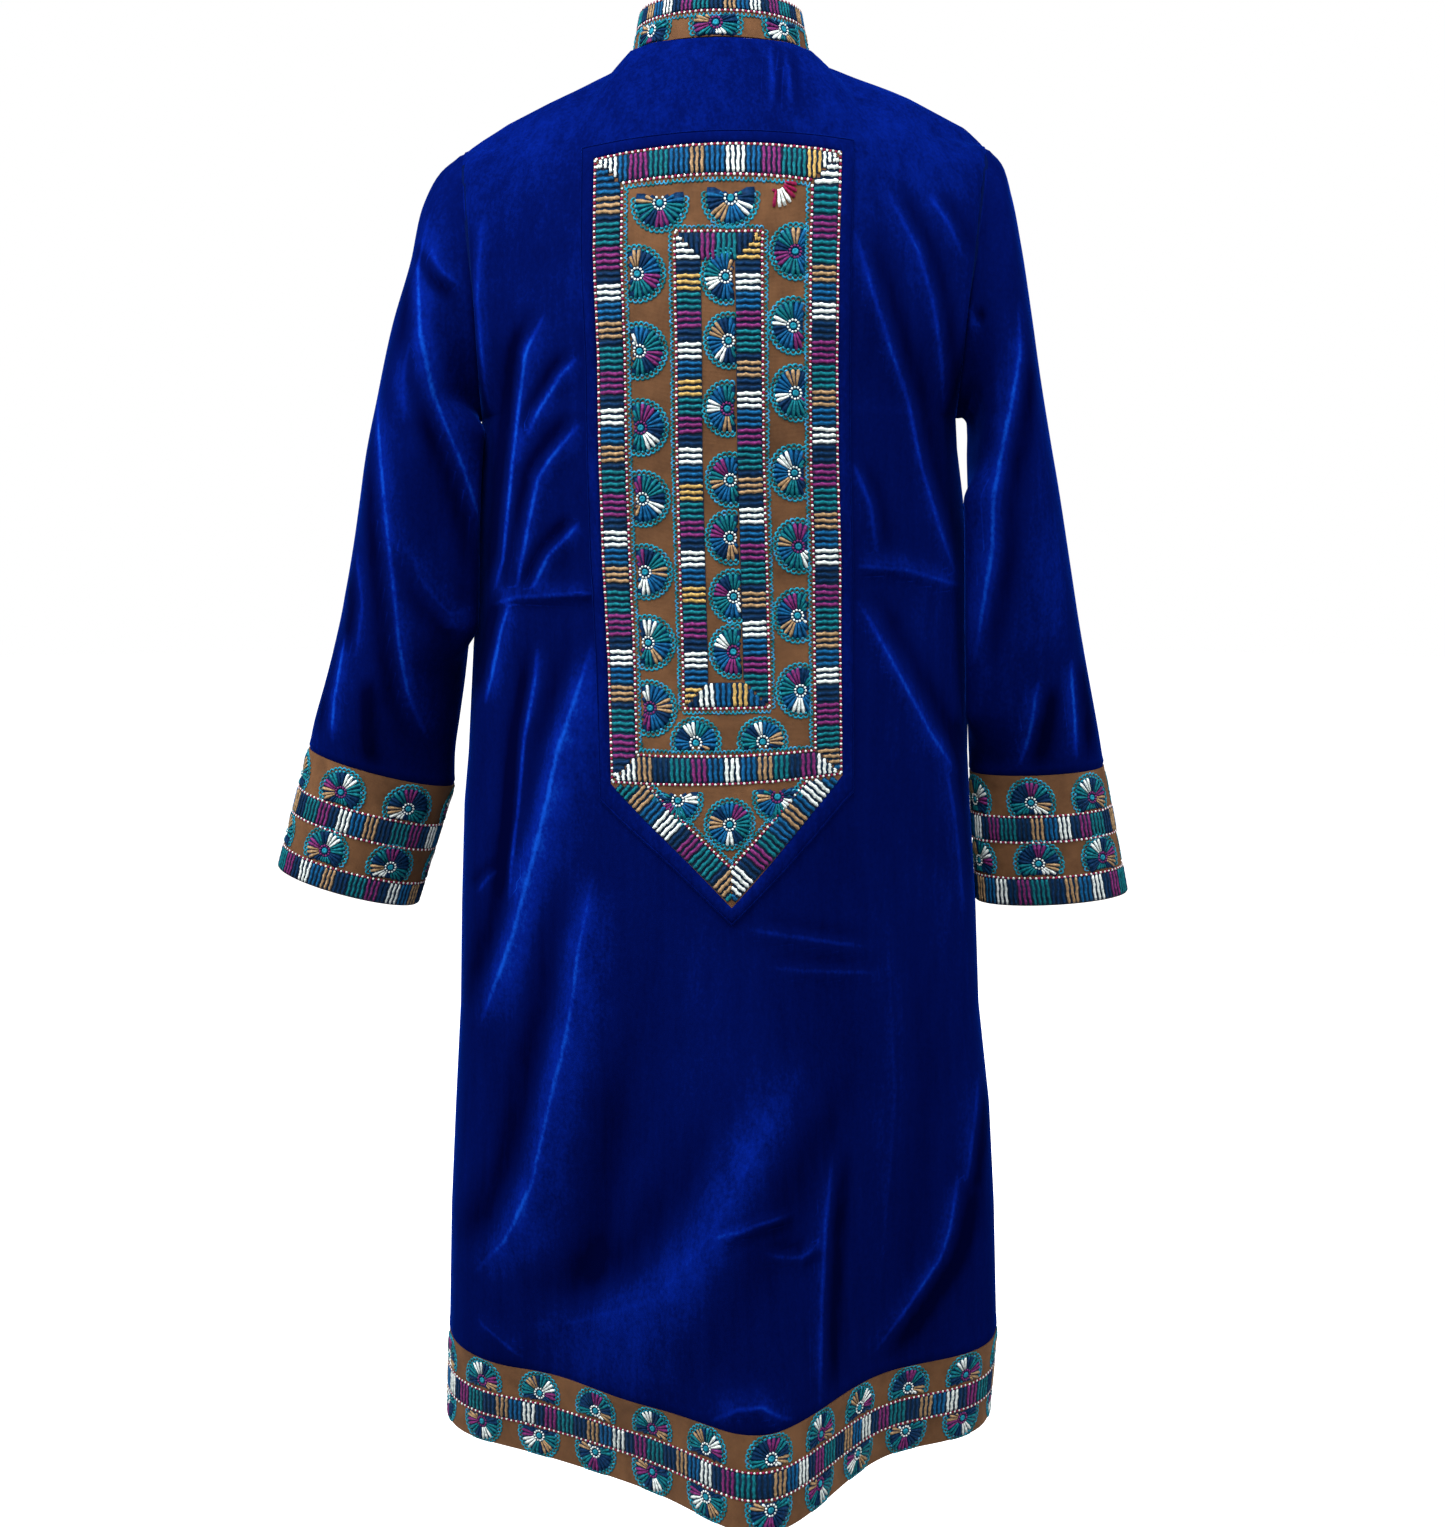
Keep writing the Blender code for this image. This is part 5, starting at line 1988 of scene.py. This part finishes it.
@dataclass
class PanelPattern:
    """Stitches of the back panel: two mitred frames, three columns of half wheels and the point."""

    panel: BackPanel
    kit: StitchKit
    wardrobe: Wardrobe
    corners: tuple = ((0.0866, 0.0915), (-0.0866, 0.0915), (-0.0866, 0.5215), (0.0866, 0.5215))
    inner: tuple = ((0.0300, 0.1405), (-0.0333, 0.1405), (-0.0335, 0.4705), (0.0318, 0.4715))
    rib: float = 0.0168

    def build(self) -> None:
        """Stitches the panel."""
        work = Embroidery("panel_embroidery", self.panel.chart, 0.0015, self.kit, self.wardrobe)
        self.outer_frame(work)
        self.inner_frame(work)
        self.point_frame(work)
        self.wheels(work)
        work.finish()

    def outer_frame(self, work: Embroidery) -> None:
        """Outer frame: beads on both sides, arches inside.

        Args:
            work: The embroidery.
        """
        a, b, c, d = self.corners
        top = "W5 B2 M4 T4 B4 A3 B4 W4 B3 M4 T5 G3 W5"
        work.band(Band(a, b, top, 0, -1.0, depth=self.rib, pitch=0.0035, bow=0.0055))
        work.band(Band(b, c, "W5 T4 | M4 T4 A3 B3 W3 N3", 0, -1.0, depth=self.rib))
        foot = "W5 A3 N3 T4 M3 B3 W3 B3 A3 T3 N2 M3 W5"
        work.band(Band(d, c, foot, 0, 1.0, depth=self.rib, pitch=0.0040, bow=0.0020))
        work.band(Band(a, d, "W2 B4 | A3 N1 T4 M4 N2 W3 B3", 0, 1.0, depth=self.rib))

    def inner_frame(self, work: Embroidery) -> None:
        """Inner frame: beads and arches on its outer side only.

        Args:
            work: The embroidery.
        """
        a, b, c, d = self.inner
        plain = {"beads_in": False, "arches_in": False, "arches_out": True}
        work.band(Band(a, b, "W1 N4 M3 T4 N3 G2", 0, -1.0, depth=0.0180, pitch=0.0037, **plain))
        work.band(Band(b, c, "G5 | N2 W3 B3 M3 T4 N1 A3", 0, -1.0, depth=0.0172, **plain))
        work.band(Band(d, c, "N3 W3 B3 G3 B2 N3", 0, 1.0, depth=0.0165, **plain))
        work.band(Band(a, d, "W5 N2 | G3 T3 M3 N2 W3 B3", 0, 1.0, depth=0.0166, **plain))

    def point_frame(self, work: Embroidery) -> None:
        """Two sloping bands that meet at the tip; beads and arches on the inner side only.

        Args:
            work: The embroidery.
        """
        drop = 0.0014
        left = (self.corners[3][0], self.corners[3][1] + drop)
        right = (self.corners[2][0], self.corners[2][1] + drop)
        tip = (self.panel.tip_s, self.panel.point - self.panel.foot_z - 0.0008)
        plain = {"inset": 0.0008, "depth": 0.0175, "beads_out": False}
        orders = ("T4 A3 B3 W4 N2 M3 T5 N1 A3", "B3 W4 B2 A3 B3 T3 M3 N2 W4")
        for start, side, colours in ((left, 1.0, orders[0]), (right, -1.0, orders[1])):
            slope = math.atan2(tip[1] - start[1], abs(start[0] - tip[0]))
            mitre = (1.0 / math.tan(slope), math.tan(slope))
            work.band(Band(start, tip, colours, 0, side, mitre=mitre, **plain))

    def wheels(self, work: Embroidery) -> None:
        """Columns and rows of half wheels and the whole wheel in the point.

        Args:
            work: The embroidery.
        """
        orders = ("B3 N2 A3 B4 W2 N2 T5 M3", "N2 M3 T4 B3 W3 B4 A2 T3", "T4 W3 N2 B4 M3 T3 A2 B4")
        left = (0.170, 0.222, 0.274, 0.323, 0.374, 0.424, 0.470)
        right = (0.155, 0.205, 0.2505, 0.305, 0.356, 0.405, 0.458)
        middle = (0.1725, 0.2155, 0.2615, 0.310, 0.350, 0.391, 0.430)
        for k in range(7):
            swing = 0.0007 * (-1) ** k
            first, second, third = (orders[(k + step) % 3] for step in range(3))
            work.wheel(Wheel(0.0553, left[k], Bulge.MINUS, 0.0176, 0.0172, 0.0052, first, 5 * k))
            place = (-0.0545 - swing, right[k], Bulge.PLUS)
            work.wheel(Wheel(*place, 0.0158, 0.0172, 0.0072, second, 5 * k + 2))
            place = (-0.0072 + swing, middle[k], Bulge.PLUS)
            work.wheel(Wheel(*place, 0.0153, 0.0168, 0.0050, third, 5 * k + 4))
        work.wheel(Wheel(0.0395, 0.1230, Bulge.DOWN, 0.0172, 0.0176, 0.0045, orders[1], 3))
        work.wheel(Wheel(-0.0095, 0.1205, Bulge.DOWN, 0.0172, 0.0176, 0.0035, orders[0], 9))
        cut_corner = ((0.5 * math.pi, 0.0145), (-0.5 * math.pi, 0.0030))
        work.wheel(Wheel(-0.0415, 0.1105, Bulge.DOWN, 0.0165, 0.0165, 0.001, "W3 R3", 0, cut_corner, False))
        work.wheel(Wheel(0.0222, 0.4935, Bulge.UP, 0.0152, 0.0162, 0.0045, orders[2], 4))
        work.wheel(Wheel(-0.0268, 0.4935, Bulge.UP, 0.0152, 0.0162, 0.0045, orders[0], 12))
        work.wheel(Wheel(-0.0018, 0.5510, Bulge.UP, 0.0162, 0.0162, 1.0, orders[0], 1))
        for s, order, first, quarter in ((0.0360, 1, 7, -0.25), (-0.0370, 2, 2, 0.25)):
            fence = ((quarter * math.pi, 0.0115),)
            work.wheel(Wheel(s, 0.5330, Bulge.DOWN, 0.0160, 0.0160, 0.0045, orders[order], first, fence))


@dataclass
class BandPattern:
    """Stitches of the hem band, the cuffs and the collar: ribs along them and rows of half wheels."""

    kit: StitchKit
    wardrobe: Wardrobe
    colours: str = "W3 B3 A3 N3 T4 M3 N2"

    def ribs(
        self, work: Embroidery, offset: float, depth: float, skip: int, ends: float, pitch: float = 0.0035,
        below: bool = True,
    ) -> None:
        """Band of ribs along the cloth.

        Args:
            work: The embroidery.
            offset: Distance down of its beads.
            depth: Length of the ribs.
            skip: Ribs skipped in the colour order.
            ends: Cloth left free at each end.
            pitch: Distance between the ribs.
            below: Whether beads follow below the ribs too.
        """
        start, end = (ends, offset), (work.chart.width - ends, offset)
        plain = {"inset": 0.0024, "mitre": (0.0, 0.0), "arches_in": False}
        work.band(Band(start, end, self.colours, skip, depth=depth, pitch=pitch, beads_in=below, **plain))

    def wheel_row(
        self, work: Embroidery, down: float, bulge: Bulge, spacing: float, phase: float, radius: float,
        flat: float, fences: tuple[tuple[float, float], ...] = (),
    ) -> None:
        """Row of half wheels.

        Args:
            work: The embroidery.
            down: Distance down of their centres.
            bulge: Way their round sides point.
            spacing: Distance between them.
            phase: Place of the first as a share of the spacing.
            radius: Their radius.
            flat: Distance of the flat side from the centre.
            fences: Further straight cuts, each a way from the round side and a distance.
        """
        orders = ("N1 A3 T3 N3 T4 N3 M2 W3 T2", "N2 W3 T3 N3 T4 N2 A3 M2 T2", "T2 M3 N2 N3 T5 N2 W3 A2 N2")
        width = work.chart.width
        number = max(int(round(width / spacing)), 1) if work.chart.closed else int(width / spacing + 1.0)
        step = width / number if work.chart.closed else spacing
        for k in range(number):
            s = (k + phase) * step
            if work.chart.closed or 0.35 * radius < s < width - 0.35 * radius:
                work.wheel(Wheel(s, down, bulge, radius, radius, flat, orders[k % 3], 2 * (k % 3), fences))

    def hem(self, hem: HemBand) -> None:
        """Stitches the hem's three lengths.

        Args:
            hem: The hem band.
        """
        for index, (node, chart) in enumerate(hem.charts.items()):
            work = Embroidery(node + "_embroidery", chart, 0.0, self.kit, self.wardrobe, seed=20 + index)
            self.ribs(work, 0.0250, 0.0170, 2 * index + 2, 0.0008, 0.0039)
            self.wheel_row(work, 0.0172, Bulge.UP, 0.0515, 0.35, 0.0158, 0.0062)
            self.wheel_row(work, 0.0530, Bulge.DOWN, 0.0515, 0.35, 0.0160, 0.0055)
            work.finish()

    def cuff(self, sleeve: Sleeve) -> None:
        """Stitches one cuff.

        Args:
            sleeve: The cuff's sleeve.
        """
        word = sleeve.shape.side.name.lower()
        work = Embroidery(f"cuff_{word}_embroidery", sleeve.chart, 0.0, self.kit, self.wardrobe, seed=30)
        self.ribs(work, 0.0310, 0.0180, 3, 0.0)
        self.ribs(work, 0.0800, sleeve.chart.height - 0.0832, 9, 0.0, below=False)
        upper, lower = (0.15, 0.14) if sleeve.shape.side is Side.LEFT else (-0.22, -0.25)
        self.wheel_row(work, 0.0208, Bulge.UP, 0.0510, upper, 0.0168, 0.0098)
        self.wheel_row(work, 0.0695, Bulge.UP, 0.0510, lower, 0.0165, 0.0095)
        work.finish()

    def collar(self, collar: Collar) -> None:
        """Stitches the collar.

        Args:
            collar: The collar.
        """
        work = Embroidery("collar_embroidery", collar.chart, 0.0, self.kit, self.wardrobe, seed=40)
        start, end = (0.001, 0.0), (collar.chart.width - 0.001, 0.0)
        work.band(Band(start, end, self.colours, 4, 1.0, 0.0022, 0.0100, (0.0, 0.0), 0.0032))
        self.wheel_row(work, 0.0222, Bulge.DOWN, 0.0520, 0.30, 0.0165, 0.0060, ((0.0, 0.0092),))
        work.finish()


@dataclass(frozen=True)
class Studio:
    """Pale floor, soft light and the camera."""

    floor_z: float = -1.42
    camera_at: tuple[float, float, float] = (-0.0012, 1.38, -0.3377)
    pitch: float = 7.737
    lens: float = 42.25

    def build(self) -> None:
        """Sets the stage."""
        self.build_floor()
        self.build_world()
        self.light("key", (2.1, 0.80, 0.75), 0.8, 48.0)
        self.light("side", (-2.0, 0.55, 0.45), 0.9, 32.0)
        self.light("overhead", (0.4, 1.0, 1.7), 1.0, 62.0)
        self.light("behind_camera", (0.3, 2.6, 0.4), 1.6, 20.0)
        self.light("front_fill", (0.0, -2.4, 0.8), 1.8, 30.0)
        self.build_camera()

    def build_floor(self) -> None:
        """Makes the floor, one broad pale disc."""
        deselect()
        below = (0.0, 0.0, self.floor_z)
        bpy.ops.mesh.primitive_circle_add(vertices=64, radius=14.0, fill_type="NGON", location=below)
        floor = bpy.context.active_object
        floor.name = "floor"
        sheet = NodeSheet("studio_floor")
        grain = sheet.noise(sheet.place(), 3.0, 4.0, 0.5)
        sheet.colour(grain, ((0.3, (0.86, 0.86, 0.87)), (0.7, (0.92, 0.92, 0.93))))
        sheet.hold({"Roughness": 0.9, "Emission Color": (1.0, 1.0, 1.0, 1.0), "Emission Strength": 1.0})
        floor.data.materials.append(sheet.material)
        floor.visible_diffuse = False

    def build_world(self) -> None:
        """Soft white surroundings."""
        world = bpy.data.worlds.new("studio_white")
        world.use_nodes = True
        shade = world.node_tree.nodes["Background"]
        shade.inputs["Color"].default_value = (1.0, 1.0, 1.0, 1.0)
        shade.inputs["Strength"].default_value = 0.22
        seen = world.node_tree.nodes.new("ShaderNodeBackground")
        seen.inputs["Color"].default_value = (1.0, 1.0, 1.0, 1.0)
        ray = world.node_tree.nodes.new("ShaderNodeLightPath")
        mix = world.node_tree.nodes.new("ShaderNodeMixShader")
        out = world.node_tree.nodes["World Output"]
        world.node_tree.links.new(ray.outputs["Is Camera Ray"], mix.inputs["Fac"])
        world.node_tree.links.new(shade.outputs[0], mix.inputs[1])
        world.node_tree.links.new(seen.outputs[0], mix.inputs[2])
        world.node_tree.links.new(mix.outputs[0], out.inputs["Surface"])
        bpy.context.scene.world = world
        bpy.context.scene.view_settings.view_transform = "Standard"

    def light(self, name: str, place: tuple[float, float, float], size: float, power: float) -> None:
        """Adds one soft panel light aimed at the coat's middle.

        Args:
            name: The light's name.
            place: Its position.
            size: Its width.
            power: Its power in watts.
        """
        lamp = bpy.data.lights.new(name, "AREA")
        lamp.size = size
        lamp.energy = power
        item = bpy.data.objects.new(name, lamp)
        item.location = place
        aim = np.array([0.0, 0.0, -0.5]) - np.array(place)
        flat = math.hypot(aim[0], aim[1])
        item.rotation_euler = (math.atan2(flat, -aim[2]), 0.0, math.atan2(-aim[0], aim[1]))
        bpy.context.scene.collection.objects.link(item)

    def build_camera(self) -> None:
        """Camera behind the wearer, looking slightly down."""
        lens = bpy.data.cameras.new("camera")
        lens.lens = self.lens
        lens.sensor_width = 36.0
        lens.clip_end = 60.0
        item = bpy.data.objects.new("camera", lens)
        item.location = self.camera_at
        item.rotation_euler = (math.radians(90.0 - self.pitch), 0.0, math.pi)
        bpy.context.scene.collection.objects.link(item)
        bpy.context.scene.camera = item
        bpy.context.scene.render.resolution_x = 1445
        bpy.context.scene.render.resolution_y = 1527


LEFT_SLEEVE = SleeveForm(
    side=Side.LEFT,
    rings=(
        (208.5, -84, 184, -265, 61, 0),
        (219.5, -104, 186.8, -270, 63.5, 0),
        (230, -146, 189, -280, 66.5, 0),
        (244, -190, 190.5, -296, 68.5, 0),
        (257, -242, 191.5, -320, 69.5, -1),
        (267.2, -285, 192.5, -350, 69, -2),
        (275, -330, 193.2, -383, 67.5, -3),
        (283.5, -374, 194.5, -418, 65.5, -5),
        (294, -418, 198.5, -455, 62, -7),
        (306.5, -462, 204, -490, 57, -9),
        (316.5, -493, 208.5, -519, 51, -11),
        (321.5, -513, 209.5, -543.5, 46, -12),
    ),
    cuff_end=(349.4, -608, 241.5, -639, 40, -16),
    creases=(
        Crease(((210, -115), (219, -157), (216, -204), (207, -249), (187, -301), (178, -334),
               (172, -380)), 3.6, 7, 9, 0.20, 0.8, 0.5),
        Crease(((256, -230), (251, -269), (246, -320), (240, -393), (238, -433), (234, -466),
               (222, -505)), 3.6, 7, 9, 0.20, 0.8, 0.5),
        Crease(((221, -198), (229, -236), (228, -269)), 2.4, 8, 10, 0.35, 0.8, 0.4, 0.7),
        Crease(((272, -360), (266, -399), (272, -440)), 2, 6, 7, 0.30, 0.4),
        Crease(((230, -350), (219, -383), (200, -407), (178, -399)), 2.4, 7, 8, 0.30, 0.5, 0.4, 0.5),
        Crease(((213, -135), (201, -160), (185, -172)), 1.4, 5, 6, 0.30, 0.4),
        Crease(((282, -420), (292, -470), (296, -505)), 3.5, 8, 7),
        Crease(((262, -445), (266, -500), (262, -530)), -3, 7, 7),
    ),
    lap=(-0.246, -0.276, -0.415, -0.455, 0.022),
)
RIGHT_SLEEVE = SleeveForm(
    side=Side.RIGHT,
    rings=(
        (207.5, -76.5, 182.5, -261, 61, 0),
        (214, -97, 186.5, -265, 63.5, 0),
        (221.5, -131, 188.5, -277, 66.5, 0),
        (230, -178, 188.5, -295, 68.5, 0),
        (238.5, -228, 189.5, -320, 69.5, -1),
        (248, -277, 190.5, -350, 69, -2),
        (257.5, -322.6, 191, -385, 67.5, -3),
        (266.5, -370, 191.5, -420, 65.5, -5),
        (275.5, -417, 192.5, -455, 62, -7),
        (285, -460, 193, -487, 57, -9),
        (293.5, -498, 194, -513, 51, -11),
        (299.3, -527, 195, -532.6, 46, -12),
    ),
    cuff_end=(321.3, -628, 203, -636, 40, -16),
    creases=(
        Crease(((-214, -179), (-215, -220), (-208, -262), (-204, -288), (-199, -320), (-199, -360),
               (-194, -399), (-189, -446)), 3.6, 8, 7, 0.20, 0.8, 0.5),
        Crease(((-169, -257), (-182, -264), (-194, -262)), 2.2, 6, 6, 0.30, 0.7, 0.4, 0.6),
        Crease(((-180, -185), (-182, -197), (-189, -200)), 1, 4, 4, 0.30, 0.5),
        Crease(((-246, -330), (-252, -380), (-250, -440)), 2, 12, 10, 0.35, 0.35, 0.3, 0.9),
        Crease(((-262, -440), (-268, -490), (-270, -520)), 3, 8, 7),
        Crease(((-236, -455), (-232, -500), (-226, -525)), 3, 7, 7),
    ),
    lap=(-0.292, -0.325, -0.480, -0.525, 0.016),
)


def main() -> None:
    """Builds every piece in order."""
    logging.basicConfig(level=logging.INFO, format="%(message)s")
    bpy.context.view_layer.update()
    form = CoatForm()
    wardrobe = Wardrobe()
    body = Body(form, wardrobe)
    body.build()
    hem = HemBand(form, wardrobe, body)
    hem.build()
    collar = Collar(form, wardrobe, body)
    collar.build()
    sleeves = [Sleeve(form, shape, wardrobe) for shape in (LEFT_SLEEVE, RIGHT_SLEEVE)]
    for sleeve in sleeves:
        sleeve.build()
    panel = BackPanel(form, wardrobe)
    panel.build()
    kit = StitchKit()
    PanelPattern(panel, kit, wardrobe).build()
    pattern = BandPattern(kit, wardrobe)
    pattern.hem(hem)
    pattern.collar(collar)
    for sleeve in sleeves:
        pattern.cuff(sleeve)
    Studio().build()


if __name__ == "__main__":
    main()
